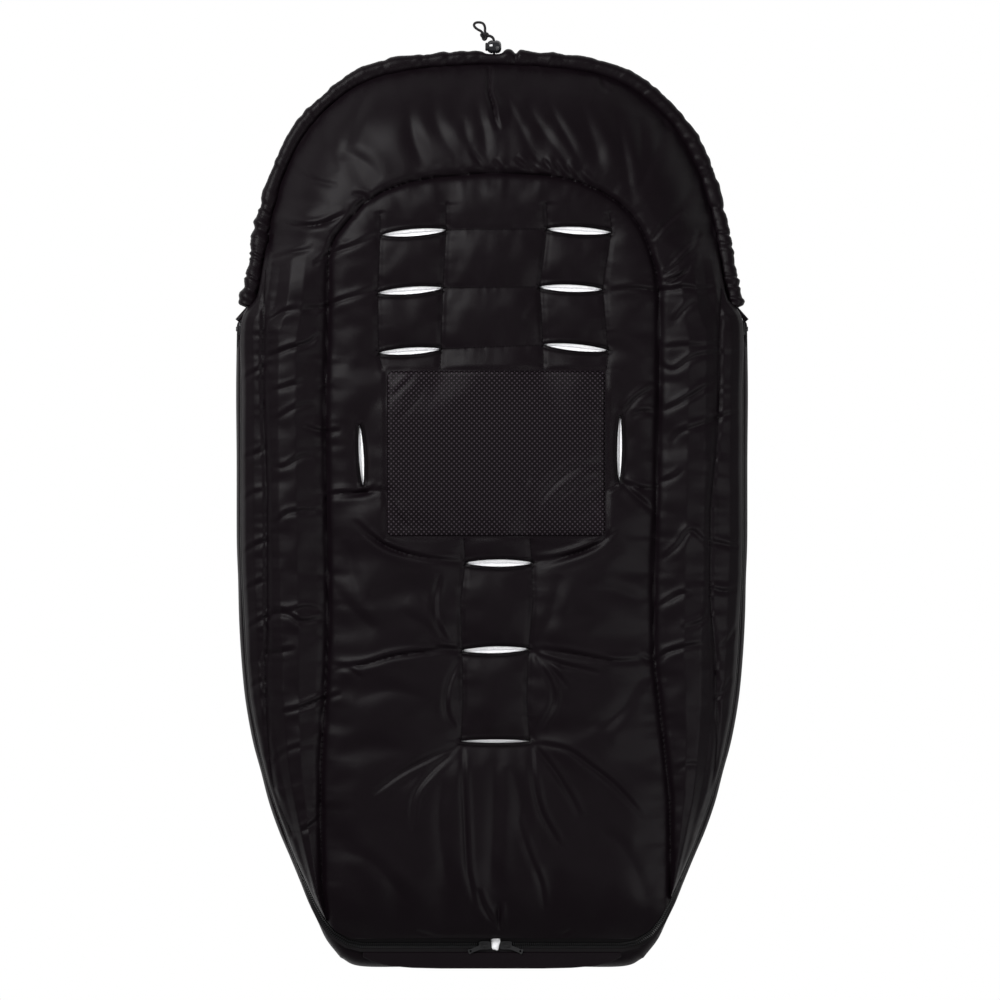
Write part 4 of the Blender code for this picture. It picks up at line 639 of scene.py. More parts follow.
def spline_weights(part):
    """The four weights of a cubic B-spline, for a place between two samples."""
    third = (3 * part ** 3 - 6 * part ** 2 + 4) / 6
    fourth = (-3 * part ** 3 + 3 * part ** 2 + 3 * part + 1) / 6
    return (1 - part) ** 3 / 6, third, fourth, part ** 3 / 6


def relief_at(relief, x, y):
    """Smooth sample of the raster."""
    xs, ys, rise = relief
    u = np.clip((x - xs[0]) / CLOTH_STEP, 1, len(xs) - 3.001)
    v = np.clip((y - ys[0]) / CLOTH_STEP, 1, len(ys) - 3.001)
    i, j = np.floor(u).astype(int), np.floor(v).astype(int)
    total = np.zeros(x.shape)
    for row, along in enumerate(spline_weights(v - j)):
        for column, across in enumerate(spline_weights(u - i)):
            total += along * across * rise[j + row - 1, i + column - 1]
    return total


RELIEF = cloth_relief()


def shell_height(x, y):
    z = folded_height(x, y)
    return z if RELIEF is None else z + SWELL_SHARE * relief_at(RELIEF, x, y)


# Materials

class Nodes:
    """Short way to add and join shader nodes."""

    def __init__(self, name, colour, roughness, metallic=0.0, gloss=0.5):
        self.material = bpy.data.materials.new(name)
        self.material.use_nodes = True
        self.tree = self.material.node_tree
        self.shader = self.tree.nodes["Principled BSDF"]
        for key, value in (("Base Color", (*colour, 1)), ("Roughness", roughness), ("Metallic", metallic),
                           ("Specular IOR Level", gloss)):
            self.shader.inputs[key].default_value = value
        self.place = self.add("ShaderNodeTexCoord").outputs["Object"]

    def add(self, kind, **values):
        node = self.tree.nodes.new(kind)
        for key, value in values.items():
            if key in node.inputs:
                node.inputs[key].default_value = value
            else:
                setattr(node, key, value)
        return node

    def join(self, out, into):
        self.tree.links.new(out, into)

    def texture(self, kind, **values):
        node = self.add(kind, **values)
        self.join(self.place, node.inputs["Vector"])
        return node.outputs["Fac"]

    def noise(self, scale, detail=3.0):
        return self.texture("ShaderNodeTexNoise", Scale=scale, Detail=detail)

    def maths(self, operation, *values):
        """A maths node whose inputs are outputs of other nodes or numbers."""
        node = self.add("ShaderNodeMath", operation=operation)
        for socket, value in zip(node.inputs, values):
            if isinstance(value, float):
                socket.default_value = value
            else:
                self.join(value, socket)
        return node.outputs[0]

    def sum(self, first, second, share):
        return self.maths("ADD", first, self.maths("MULTIPLY", second, share))

    def bump(self, height, strength, distance):
        node = self.add("ShaderNodeBump", Strength=strength, Distance=distance)
        self.join(height, node.inputs["Height"])
        self.join(node.outputs["Normal"], self.shader.inputs["Normal"])

    def tint(self, factor, dark, light):
        """Blends the base colour from dark to light."""
        node = self.add("ShaderNodeMix", data_type="RGBA")
        ends = {"A": dark, "B": light}
        for socket in node.inputs:
            if socket.type == "RGBA":
                socket.default_value = (*ends[socket.name], 1)
        self.join(factor, node.inputs["Factor"])
        output = next(socket for socket in node.outputs if socket.type == "RGBA")
        self.join(output, self.shader.inputs["Base Color"])


def nylon():
    made = Nodes("black_nylon", (0.0030, 0.0018, 0.0026), 0.40, gloss=0.060)
    made.tint(made.noise(30.0, 3.0), (0.0026, 0.0014, 0.0022), (0.0038, 0.0024, 0.0034))
    made.bump(made.sum(made.noise(2600.0, 2.0), made.noise(90.0, 2.0), 0.5), 0.25, 0.0005)
    return made.material


def fleece():
    made = Nodes("light_fleece", (0.72, 0.72, 0.73), 0.95)
    made.shader.inputs["Sheen Weight"].default_value = 0.4
    made.tint(made.noise(420.0, 5.0), (0.72, 0.72, 0.735), (0.95, 0.95, 0.96))
    made.bump(made.noise(900.0, 5.0), 0.9, 0.0016)
    return made.material


def grip():
    """Black cloth with a lattice of small raised dots, every other row shifted."""
    made = Nodes("grip_cloth", (0.010, 0.008, 0.009), 0.45, gloss=0.065)
    split = made.add("ShaderNodeSeparateXYZ")
    made.join(made.place, split.inputs[0])
    waves = [made.maths("COSINE", made.maths("MULTIPLY", split.outputs[axis], math.tau / DOT_PITCH)) for axis in "XY"]
    dots = made.add("ShaderNodeMapRange")
    dots.inputs["From Min"].default_value = 1.20
    dots.inputs["From Max"].default_value = 1.55
    made.join(made.maths("ABSOLUTE", made.sum(*waves, 1.0)), dots.inputs["Value"])
    made.tint(dots.outputs["Result"], (0.0026, 0.0015, 0.0022), (0.028, 0.022, 0.027))
    made.bump(made.sum(dots.outputs["Result"], made.noise(200.0, 4.0), 0.5), 0.7, 0.0008)
    return made.material


def ribbed():
    made = Nodes("zip_tape", (0.006, 0.0052, 0.0058), 0.80, gloss=0.10)
    made.bump(made.sum(made.texture("ShaderNodeTexWave", Scale=900.0), made.noise(1500.0), 0.5), 0.5, 0.0004)
    return made.material


def braid():
    made = Nodes("cord_braid", (0.007, 0.006, 0.007), 0.62, gloss=0.2)
    made.bump(made.texture("ShaderNodeTexWave", Scale=260.0, Distortion=1.5, bands_direction="DIAGONAL"), 0.8, 0.0006)
    return made.material


def coated(name, colour, roughness, metallic=0.0, grain=600.0, strength=0.08, gloss=0.5):
    made = Nodes(name, colour, roughness, metallic, gloss)
    made.bump(made.noise(grain), strength, 0.0003)
    return made.material


NYLON = nylon()
FLEECE = fleece()
GRIP = grip()
TAPE = ribbed()
TEETH = coated("zip_teeth", (0.005, 0.005, 0.0055), 0.35, gloss=0.25)
PAINT = coated("slider_paint", (0.016, 0.016, 0.017), 0.26, 0.5)
BRAID = braid()
THREAD = coated("overlock_thread", (0.0014, 0.0010, 0.0013), 0.75, gloss=0.03)
PLASTIC = coated("lock_plastic", (0.006, 0.006, 0.007), 0.16, 0.0, 200.0, 0.03)
STEEL = coated("spring_steel", (0.60, 0.60, 0.62), 0.30, 1.0)


# Mesh helpers

def link(name, data, body):
    item = bpy.data.objects.new(name, data)
    bpy.context.scene.collection.objects.link(item)
    if body:
        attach(item, body)
    return item


def fix_normals(item):
    mesh = bmesh.new()
    mesh.from_mesh(item.data)
    bmesh.ops.recalc_face_normals(mesh, faces=mesh.faces[:])
    mesh.to_mesh(item.data)
    mesh.free()


def add_mesh(name, verts, faces, material, body=None, smooth=True):
    data = bpy.data.meshes.new(name)
    data.from_pydata([tuple(v) for v in verts], [], [tuple(f) for f in faces])
    data.materials.append(material)
    data.update()
    if smooth:
        data.polygons.foreach_set("use_smooth", [True] * len(data.polygons))
    return link(name, data, body)


def add_threads(name, lines, radius, material, body, resolution):
    """Round threads along some lines, in one piece."""
    curve = bpy.data.curves.new(name, "CURVE")
    curve.dimensions = "3D"
    curve.bevel_depth = radius
    curve.bevel_resolution = resolution
    curve.use_fill_caps = True
    for points in lines:
        thread = curve.splines.new("POLY")
        thread.points.add(len(points) - 1)
        for knot, point in zip(thread.points, points):
            knot.co = (*point, 1.0)
    curve.materials.append(material)
    return link(name, curve, body)


def tube_faces(rings, around):
    """Faces of a closed tube made of rings of points."""
    index = np.arange(rings * around).reshape(rings, around)
    after = np.roll(index, -1, 1)
    quads = np.stack([index[:-1], after[:-1], after[1:], index[1:]], -1).reshape(-1, 4).tolist()
    return [*quads, index[0, ::-1].tolist(), index[-1].tolist()]


def closed_grid(x, y, upper_z, lower_z):
    """Vertices and faces of a solid between two heights of a grid, and how many faces each side has."""
    index, quads = grid_quads(*x.shape)
    count = index.size
    ring = np.concatenate([index[0, :-1], index[:-1, -1], index[-1, :0:-1], index[:0:-1, 0]])
    after = np.roll(ring, -1)
    wall = np.stack([ring + count, after + count, after, ring], -1)
    faces = np.vstack([quads, quads[:, ::-1] + count, wall])
    verts = np.vstack([np.stack([x, y, z], -1).reshape(-1, 3) for z in (upper_z, lower_z)])
    return verts, faces, len(quads)


def add_quilt(name, x, y, upper_z, lower_z, fleece_below, fleece_above=0):
    """A closed padded piece, black outside and fleece inside."""
    verts, faces, split = closed_grid(x, y, upper_z, lower_z)
    item = add_mesh(name, verts, faces, NYLON)
    item.data.materials.append(FLEECE)
    marks = np.zeros(len(faces), int)
    marks[:split] = fleece_above
    marks[split:2 * split] = fleece_below
    item.data.polygons.foreach_set("material_index", marks)
    fix_normals(item)
    return item


def direction(line):
    """Start, unit direction and length of a slot."""
    (ax, ay), (bx, by) = line
    length = math.hypot(bx - ax, by - ay)
    return ax, ay, (bx - ax) / length, (by - ay) / length, length


def lens(line, opening, grow=0.0, count=18):
    """Outline of a slot as a thin lens, anticlockwise."""
    ax, ay, ux, uy, length = direction(line)
    shares = [(1 - math.cos(math.pi * k / count)) / 2 for k in range(count + 1)]
    lower, upper = [], []
    for share in shares:
        half = (opening / 2) * max(math.sin(math.pi * share), 0) ** LENS_POWER + grow
        along = -grow + (length + 2 * grow) * share
        half = 0.0 if share in (shares[0], shares[-1]) else half
        lower.append((ax + ux * along + uy * half, ay + uy * along - ux * half))
        upper.append((ax + ux * along - uy * half, ay + uy * along + ux * half))
    return [*lower, *reversed(upper[1:-1])]


# Back

CUTTER_BOTTOM = 0.020
CUTTER_TOP = 0.090
SHARP_ANGLE = math.radians(50)
UNDERSIDE_NOISE = (0.0008, 0.022, 77)
RIM_SHARE = 0.8


def slot_cutters():
    """One object that cuts all the slots."""
    verts, faces = [], []
    for line, opening in SLOT_LINES:
        ring = lens(line, opening)
        faces += [[len(verts) + k for k in face] for face in tube_faces(2, len(ring))]
        verts += [(x, y, z) for z in (CUTTER_BOTTOM, CUTTER_TOP) for x, y in ring]
    cutter = add_mesh("slot_cutter", verts, faces, FLEECE, smooth=False)
    fix_normals(cutter)
    return cutter


def cut_slots(item):
    cutter = slot_cutters()
    change = item.modifiers.new("Slots", "BOOLEAN")
    change.operation = "DIFFERENCE"
    change.solver = "EXACT"
    change.material_mode = "TRANSFER"
    change.object = cutter
    graph = bpy.context.evaluated_depsgraph_get()
    graph.update()
    solid = item.evaluated_get(graph)
    data = bpy.data.meshes.new_from_object(solid, preserve_all_data_layers=True, depsgraph=graph)
    item.modifiers.clear()
    old = item.data
    item.data = data
    bpy.data.meshes.remove(old)
    bpy.data.objects.remove(cutter, do_unlink=True)


def make_back():
    x, y, rim_z = np.moveaxis(coons(*EDGES), -1, 0)
    edge = np.zeros(x.shape, bool)
    edge[0], edge[-1], edge[:, 0], edge[:, -1] = True, True, True, True
    top = np.where(edge, rim_z, shell_height(x, y))
    below = np.minimum(UNDERSIDE, np.minimum(base_height(x, y)[0], top) - EDGE_THICKNESS)
    below = below + bumps(x, y, *UNDERSIDE_NOISE)
    below = np.where(edge, rim_z - EDGE_THICKNESS * RIM_SHARE, below)
    item = add_quilt("back_quilt", x, y, top, below, 1)
    cut_slots(item)
    item.data.set_sharp_from_angle(angle=SHARP_ANGLE)
    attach(item, "back")
    panels = ("back_centre_", "surround_", "hood_wadding", "side_wadding_", "gusset_", "shoulder_wadding_",
              "seat_wadding", "crotch_wadding_", "foot_wadding")
    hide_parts(*[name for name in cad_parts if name.startswith(panels)])


# Edges of the slots

THREAD_COUNT = 210
THREAD_GAP = 0.0004
THREAD_SWING = (0.0002, 0.0032)
THREAD_RISE = 0.0002
THREAD_RADIUS = 0.00058
THREAD_CURVE = 30
LIP_STEPS = 40
LIP_AROUND = 8
LIP_INNER = 0.0002
LIP_START = 0.03
LIP_SHARE = 0.94
LIP_REACH = 0.0010
LIP_TUCK = 0.0004
LIP_OVERLAP = 0.0016
LIP_WAVE = 0.0003
LIP_HALF_HEIGHT = 0.0026
# Each lip's side, how far it stays below the shell, and the last letter of its name
LIPS = ((1, 0.0036, "a"), (-1, 0.0064, "b"))


def make_slot_edges():
    """Overlocked thread round every slot, and the fleece that shows in it."""
    for number, (line, opening) in enumerate(SLOT_LINES):
        ring = plan_samples(lens(line, opening, THREAD_GAP, THREAD_CURVE), THREAD_COUNT)
        run = np.roll(ring, -1, 0) - np.roll(ring, 1, 0)
        run /= np.maximum(np.linalg.norm(run, axis=1)[:, None], 1e-9)
        out = np.stack([run[:, 1], -run[:, 0]], 1)
        spots = ring + out * np.where(np.arange(len(ring)) % 2 == 0, *THREAD_SWING)[:, None]
        rise = shell_height(spots[:, 0], spots[:, 1]) + THREAD_RISE
        points = [(x, y, z) for (x, y), z in zip(spots, rise)]
        add_threads(f"slot_thread_{number + 1}", [points], THREAD_RADIUS, THREAD, "back", 1)
        ax, ay, ux, uy, length = direction(line)
        shares = LIP_START + LIP_SHARE * np.arange(LIP_STEPS + 1) / LIP_STEPS
        heights = shell_height(ax + ux * length * shares, ay + uy * length * shares)
        for side, depth, word in LIPS:
            verts = []
            for step, (share, surface) in enumerate(zip(shares, heights)):
                half = opening / 2 * math.sin(math.pi * share) ** LENS_POWER + LIP_REACH
                cx, cy = ax + ux * length * share, ay + uy * length * share
                inner = LIP_INNER if side > 0 else -min(LIP_OVERLAP, half / 2)
                inner += LIP_WAVE * math.sin(step * 2.3 + number)
                middle, reach = (inner + half + LIP_TUCK) / 2, (half + LIP_TUCK - inner) / 2
                for turn in range(LIP_AROUND):
                    angle = math.tau * turn / LIP_AROUND
                    out_by = side * (middle + reach * math.cos(angle))
                    high = surface - depth + LIP_HALF_HEIGHT * math.sin(angle)
                    verts.append((cx - uy * out_by, cy + ux * out_by, high))
            faces = tube_faces(LIP_STEPS + 1, LIP_AROUND)
            lip = add_mesh(f"slot_fleece_{number + 1}_{word}", verts, faces, FLEECE, "back")


# Patch

PATCH_COLUMNS = 110
PATCH_ROWS = 84
PATCH_CORNER = 0.006
PATCH_LIFT = 0.0009
PATCH_LEAST_LIFT = 0.0002
PATCH_RAMP = 0.002
PATCH_DEPTH = 0.0006


def make_patch():
    x, y = np.meshgrid(np.linspace(PATCH_LEFT, PATCH_RIGHT, PATCH_COLUMNS),
                       np.linspace(PATCH_BOTTOM, PATCH_TOP, PATCH_ROWS))
    middle_x, middle_y = (PATCH_LEFT + PATCH_RIGHT) / 2, (PATCH_TOP + PATCH_BOTTOM) / 2
    over_x = np.maximum(np.abs(x - middle_x) - ((PATCH_RIGHT - PATCH_LEFT) / 2 - PATCH_CORNER), 0)
    over_y = np.maximum(np.abs(y - middle_y) - ((PATCH_TOP - PATCH_BOTTOM) / 2 - PATCH_CORNER), 0)
    size = np.hypot(over_x, over_y)
    pull = np.where(size > 0, np.maximum(over_x, over_y) / np.maximum(size, 1e-9), 1)
    x = middle_x + np.sign(x - middle_x) * (np.abs(x - middle_x) - over_x + over_x * pull)
    y = middle_y + np.sign(y - middle_y) * (np.abs(y - middle_y) - over_y + over_y * pull)
    z = shell_height(x, y)
    rim = np.minimum(np.minimum(x - PATCH_LEFT, PATCH_RIGHT - x), np.minimum(y - PATCH_BOTTOM, PATCH_TOP - y))
    lift = PATCH_LIFT * ease(rim / PATCH_RAMP) + PATCH_LEAST_LIFT
    verts, faces, _ = closed_grid(x, y, z + lift, z - PATCH_DEPTH)
    item = add_mesh("grip_patch", verts, faces, GRIP)
    fix_normals(item)
    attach(item, "back")
    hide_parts("anti_slip_patch")


# Hem casing

HEM_STEPS = 900
HEM_AROUND = 28
HEM_LOOSE_Y = 0.350
HEM_TIGHT_BLEND = 0.120
LEAST_TIGHT = 0.42
HEM_SHARE = 0.97
HEM_SLOW = HEM_RADIUS * 0.065
HEM_GATHER = 0.00105
HEM_LEAN = (0.0050, 0.0018)
HEM_FINE_SHARE = 0.5
# Spacing and seed of its gathers, their finer folds and its slow swell
HEM_COARSE = (0.0064, 90)
HEM_FINE = (0.0030, 91)
HEM_SWELL = (0.028, 92)
HEM_OUTER_SHARE = 0.28
# Place and width, across, of the room beside the lock and of the notch
LOCK_ROOM = (0.0015, 0.0098)
LOCK_DENT = 0.52
LOCK_DENT_ANGLE = 0.66
NOTCH = (0.0235, 0.0026)
NOTCH_SHARE = 0.30
NOTCH_DROP = 0.0012
# Share, place and width of the thicker spot near its ends, and how they close
END_SWELL = (0.10, 0.010, 0.008)
END_CLOSE = 0.004
END_SHARE = 0.25
HEM_LOWEST = 0.0002


def make_hem():
    right = [tuple(point) for point in hem_line()[0]]
    line = resampled([*[(-x, y, z) for x, y, z in reversed(right[1:])], *right], HEM_STEPS)
    run = run_of(line)
    tangent = np.gradient(line, axis=0)
    tangent /= np.linalg.norm(tangent, axis=1)[:, None]
    out = np.stack([-tangent[:, 1], tangent[:, 0], np.zeros(HEM_STEPS)], 1)
    out /= np.linalg.norm(out, axis=1)[:, None]
    up = np.cross(tangent, out)
    angles = np.arange(HEM_AROUND) * math.tau / HEM_AROUND
    tight = LEAST_TIGHT + (1 - LEAST_TIGHT) * ease((HEM_LOOSE_Y - line[:, 1]) / HEM_TIGHT_BLEND)[:, None]
    lean = run[:, None] + HEM_LEAN[0] * np.sin(angles)[None, :] + HEM_LEAN[1] * np.cos(2 * angles + 1)[None, :]
    gather = smooth_noise(lean, *HEM_COARSE) + HEM_FINE_SHARE * smooth_noise(lean, *HEM_FINE) * tight
    slow = smooth_noise(run, *HEM_SWELL)[:, None]
    lock_room = bell(line[:, 0] - LOCK_ROOM[0], LOCK_ROOM[1], 4)[:, None]
    radius = HEM_RADIUS * HEM_SHARE + (HEM_SLOW * slow + HEM_GATHER * gather * tight) * (1 - lock_room)
    notch = bell(line[:, 0] - NOTCH[0], NOTCH[1])[:, None]
    # Fuller outward, with a dent at half height where the lock slides up to it
    outer = np.maximum(np.cos(angles), 0)[None, :]
    dent = bell(np.minimum(angles, math.tau - angles), LOCK_DENT_ANGLE, 4)[None, :]
    fuller = HEM_OUTER_SHARE * outer * (1 - lock_room)
    radius = radius * (1 - NOTCH_SHARE * notch + fuller - LOCK_DENT * dent * lock_room)
    ends = np.minimum(run, run[-1] - run)[:, None]
    radius = radius * (1 + END_SWELL[0] * bell(ends - END_SWELL[1], END_SWELL[2])) * ease(ends / END_CLOSE + END_SHARE)
    centre = line - np.array([0, 1, 0]) * NOTCH_DROP * notch
    verts = (centre[:, None] + out[:, None] * (radius * np.cos(angles))[..., None]
             + up[:, None] * (radius * np.sin(angles))[..., None])
    verts[..., 2] = np.maximum(verts[..., 2], HEM_LOWEST)
    item = add_mesh("hem_gathers", verts.reshape(-1, 3), tube_faces(HEM_STEPS, HEM_AROUND), NYLON)
    fix_normals(item)
    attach(item, "back")
    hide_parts("hem_casing")


# Stitches

SEAM_PITCH = 0.0030
QUILTING_PITCH = 0.0032
STITCH_RADIUS = 0.00030
STITCH_PLACES = np.array([0.05, 0.25, 0.60, 0.80])
STITCH_RISES = np.array([-0.0003, 0.0003, 0.0003, -0.0003])
STITCH_MARGIN = 0.004


def add_stitches(name, line, pitch):
    """Short stitches along a plan line, each pulled into the cloth at its ends."""
    spots = plan_samples(line, 40 * len(line))
    run = run_of(spots)
    places = (np.arange(int(run[-1] / pitch))[:, None] + STITCH_PLACES) * pitch
    x, y = np.interp(places, run, spots[:, 0]), np.interp(places, run, spots[:, 1])
    z = shell_height(x, y) + STITCH_RISES
    on_cloth = (inside(x, y, EDGE_XY[:-1]) & (line_field(x, y, EDGE_XY)[0] > STITCH_MARGIN)).all(1)
    add_threads(name, np.stack([x, y, z], -1)[on_cloth], STITCH_RADIUS, THREAD, "back", 0)


def make_stitches():
    add_stitches("seam_stitches_inner", SEAM_LINE, SEAM_PITCH)
    for number, line in enumerate(OUTER_LINES):
        add_stitches(f"seam_stitches_outer_{number + 1}", line, SEAM_PITCH)
    for number, (line, _) in enumerate(STITCH_LINES):
        add_stitches(f"quilting_stitches_{number + 1}", line, QUILTING_PITCH)


TUFT_AROUND = 20
TUFT_RINGS = 6
TUFT_PLACE = (FOOT_OPENING_X, -0.4325, 0.0385)
TUFT_REACH = (0.0045, 0.0085, 0.0030)


def make_foot_fleece():
    """The bit of lining that shows between the two lower sliders."""
    verts = []
    for ring in range(TUFT_RINGS + 1):
        rise = -math.cos(math.pi * ring / TUFT_RINGS)
        reach = max(math.sin(math.pi * ring / TUFT_RINGS), 0.02)
        for turn in range(TUFT_AROUND):
            angle = math.tau * turn / TUFT_AROUND
            wave = reach * (1 + 0.10 * math.sin(5 * angle + 0.7))
            sides = (wave * math.cos(angle), wave * math.sin(angle), rise)
            verts.append([spot + size * side for spot, size, side in zip(TUFT_PLACE, TUFT_REACH, sides)])
    tuft = add_mesh("foot_gap_fleece", verts, tube_faces(TUFT_RINGS + 1, TUFT_AROUND), FLEECE, "back")


# Zip teeth

TOOTH_PITCH = 0.0021
TOOTH_START = 0.0015
TOOTH_END = 0.0012
COVER_TEETH_START = 0.0140
LOOK_AHEAD = 0.0005
TEETH_PAST_MIDDLE = 0.004
# Reach across, half width and half height of a tooth at its root, its neck and its head
TOOTH_RINGS = ((-0.0002, 0.00042, 0.0008), (0.0014, 0.00062, 0.0011), (0.0022, 0.00050, 0.0013))
SQUARE = ((-1, -1), (1, -1), (1, 1), (-1, 1))


def make_teeth():
    tooth = np.array(tube_faces(len(TOOTH_RINGS), 4))
    for side, word in ((1, "right"), (-1, "left")):
        stations = zip_line(side * FOOT_OPENING_X + TEETH_PAST_MIDDLE)
        cut = COVER_ZIP_COUNT - 1
        for name, rows, sign, body, node in (
                (f"back_teeth_{word}", stations, -1, "back", f"back_zip_chain_{word}"),
                (f"cover_teeth_{word}", stations[:cut + 1], 1, "front_cover", f"cover_zip_chain_{word}"),
                (f"foot_teeth_{word}", stations[cut:], 1, "back", f"foot_zip_chain_{word}")):
            flat = np.array([[*spot, *across, *facing] for spot, across, facing, normal in rows])
            run = run_of(flat[:, :3])
            places = np.arange(TOOTH_START + (0.0 if sign > 0 else TOOTH_PITCH / 2), run[-1] - TOOTH_END, TOOTH_PITCH)
            if name.startswith("cover"):
                places = places[places > COVER_TEETH_START]
            data = np.stack([np.interp(places, run, flat[:, k]) for k in range(9)], 1)
            ahead = np.stack([np.interp(places + LOOK_AHEAD, run, flat[:, k]) for k in range(3)], 1)
            verts = []
            for row, nose in zip(data, ahead):
                spot, across, facing = Vector(row[:3]), Vector(row[3:6]).normalized(), Vector(row[6:]).normalized()
                along = (Vector(nose) - spot).normalized()
                for out, half_run, half_rise in TOOTH_RINGS:
                    middle = spot + across * (sign * (ZIP_HALF_GAP * 0.6 + out))
                    for a, b in SQUARE:
                        corner = middle + along * (a * half_run) + facing * (b * half_rise)
                        verts.append((corner.x * side, corner.y, corner.z))
            faces = (tooth + np.arange(0, len(verts), 4 * len(TOOTH_RINGS))[:, None, None]).reshape(-1, 4)
            item = add_mesh(name, verts, faces, TEETH, smooth=False)
            fix_normals(item)
            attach(item, body)
            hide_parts(node)


# Front cover

COVER_SIDE_REACH = 0.0056
COVER_FOOT_REACH = 0.0233
COVER_FOOT_SHARES = (*[0] * 14, 0.02, 0.05, 0.30, 0.75, 0.97, 1.0, 1.0)
COVER_EDGE_HEIGHT = 0.0150
COVER_WAVE = 0.0006
COVER_WAVES = (0.034, 95)
COVER_NOISE = (0.0006, 0.024, 61)
PILLOW_NOISE = (0.040, 63)
PILLOW_HEIGHTS = (0.0005, 0.0002)
PILLOW_BLEND = 0.02
ARCH_STEPS = 14
ARCH_RISE = 0.125
ARCH_POWER = 2.4
ARCH_HEIGHT = 0.004
COVER_COLUMNS = 181
COVER_ROWS = 261
COVER_FOOT_Y = -0.400
COVER_FOOT_BLEND = 0.030
# Heights at distances from the cover's side: its wall's top, its underside, and the fold's drop at the foot
WALL_GAPS = (0, 0.0015, 0.0036, 0.0058, 0.0085, 0.0125, 0.020)
WALL_HEIGHTS = (0.0150, 0.0208, 0.0257, 0.0258, 0.0254, 0.0238, 0.0215)
LOW_GAPS = (0, 0.002, 0.006, 0.012, 0.03)
LOW_HEIGHTS = (0.0150, 0.0075, 0.0022, 0.0006, 0.0003)
FOLD_GAPS = (0.0165, 0.021, 0.030, 0.045)
FOLD_DROPS = (0.0, 0.0, 0.007, 0.0105)
FOLD_CENTRE = 0.0165
FOLD_RADIUS = 0.0160
COVER_LOWEST = 0.0001
MOUTH_HEIGHT = 0.0060
MOUTH_BLEND = 0.030
EDGE_HEIGHTS = (0.0160, 0.0145)
BROW_HEIGHTS = (0.0052, 0.0006)
LINING_GAP = 0.0075
LINING_FOOT_GAP = 0.030
LINING_FOOT_Y = -0.428
BINDING_RADIUS = 0.0029
BINDING_REACH = 0.0020
BINDING_HEIGHT = 0.0030


def cover_outline():
    """Right half of the widest line of the cover with the zip line inside it."""
    points = []
    for (spot, across, facing, normal), share in zip(zip_line(0), COVER_FOOT_SHARES):
        wave = COVER_WAVE * float(smooth_noise(np.array([spot.y]), *COVER_WAVES)[0]) * (1 - share)
        point = spot + normal * (COVER_SIDE_REACH + wave + (COVER_FOOT_REACH - COVER_SIDE_REACH) * share)
        point.z = COVER_EDGE_HEIGHT
        points.append(point)
    return points


def make_cover():
    side = cover_outline()
    corner = side[0]
    arch = []
    for step in range(ARCH_STEPS):
        share = step / ARCH_STEPS
        arch.append(Vector((corner.x * share, corner.y + ARCH_RISE * (1 - share ** ARCH_POWER), ARCH_HEIGHT)))
    arch.append(corner.copy())
    top, bottom, left, right = four_edges(arch, side[:FOOT_CORNER + 1], side[FOOT_CORNER:], COVER_COLUMNS, COVER_ROWS)
    x, y, _ = np.moveaxis(coons(top, bottom, left, right), -1, 0)
    rim = [tuple(point) for point in np.vstack([left[::-1][::3, :2], bottom[::3, :2], right[::3, :2]])]
    side_gap, _, _ = line_field(x, y, rim)
    open_gap, _, _ = line_field(x, y, [tuple(point) for point in top[::3, :2]])
    foot_share = ease((COVER_FOOT_Y - y) / COVER_FOOT_BLEND)
    bulge = np.sqrt(np.maximum(FOLD_RADIUS ** 2 - np.maximum(FOLD_CENTRE - side_gap, 0) ** 2, 0))
    wall_top = np.interp(side_gap, WALL_GAPS, WALL_HEIGHTS)
    fold_top = FOLD_CENTRE + bulge - np.interp(side_gap, FOLD_GAPS, FOLD_DROPS)
    up_z = wall_top + (fold_top - wall_top) * foot_share
    up_z = up_z + bumps(x, y, *COVER_NOISE)
    low_side = np.interp(side_gap, LOW_GAPS, LOW_HEIGHTS)
    low_z = low_side + (FOLD_CENTRE - bulge - low_side) * foot_share
    pillow = PILLOW_HEIGHTS[0] * np.maximum(plane_noise(x, y, *PILLOW_NOISE), 0) + PILLOW_HEIGHTS[1]
    low_z = np.maximum(low_z + pillow * ease(side_gap / PILLOW_BLEND), COVER_LOWEST)
    up_z = MOUTH_HEIGHT + (up_z - MOUTH_HEIGHT) * ease(open_gap / MOUTH_BLEND)
    low_z = low_z + cover_seams(x, y)
    for height, edge_height, brow_height in zip((up_z, low_z), EDGE_HEIGHTS, BROW_HEIGHTS):
        height[0], height[:, 0], height[:, -1] = edge_height, edge_height, edge_height
        height[-1] = brow_height
    inner = ((side_gap > LINING_GAP + LINING_FOOT_GAP * foot_share) & (y > LINING_FOOT_Y)).astype(int)
    cell = inner[:-1, :-1] & inner[1:, 1:] & inner[:-1, 1:] & inner[1:, :-1]
    item = add_quilt("cover_quilt", x, y, up_z, low_z, 0, cell.ravel())
    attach(item, "front_cover")
    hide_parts("cover_shell", "cover_wadding", "cover_lining")
    binding = resampled([(p[0], p[1] + BINDING_REACH, BINDING_HEIGHT) for p in top], 160)
    band = add_threads("cover_binding", [binding], BINDING_RADIUS, NYLON, "front_cover", 3)
    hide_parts("cover_top_binding")


# Quilting of the cover: where its rows and columns lie, how deep they are, and their width
COVER_ROWS_Y = (-0.25, -0.09, 0.07, 0.20)
COVER_COLUMNS_X = (-0.165, 0.165)
ROW_DEPTH = 0.0032
COLUMN_DEPTH = 0.0036
COVER_GROOVE = (0.0055, 1.4)


def cover_seams(x, y):
    """Raised grooves of the quilting on the cover's outer face."""
    depth = np.zeros(x.shape)
    for line_y in COVER_ROWS_Y:
        depth += ROW_DEPTH * bell(np.abs(y - line_y - 0.05 * (x / 0.25) ** 2), *COVER_GROOVE)
    for line_x in COVER_COLUMNS_X:
        depth += COLUMN_DEPTH * bell(np.abs(x - line_x), *COVER_GROOVE)
    return depth


# Cord: its strand out of the eyelet, its loop, and its knot

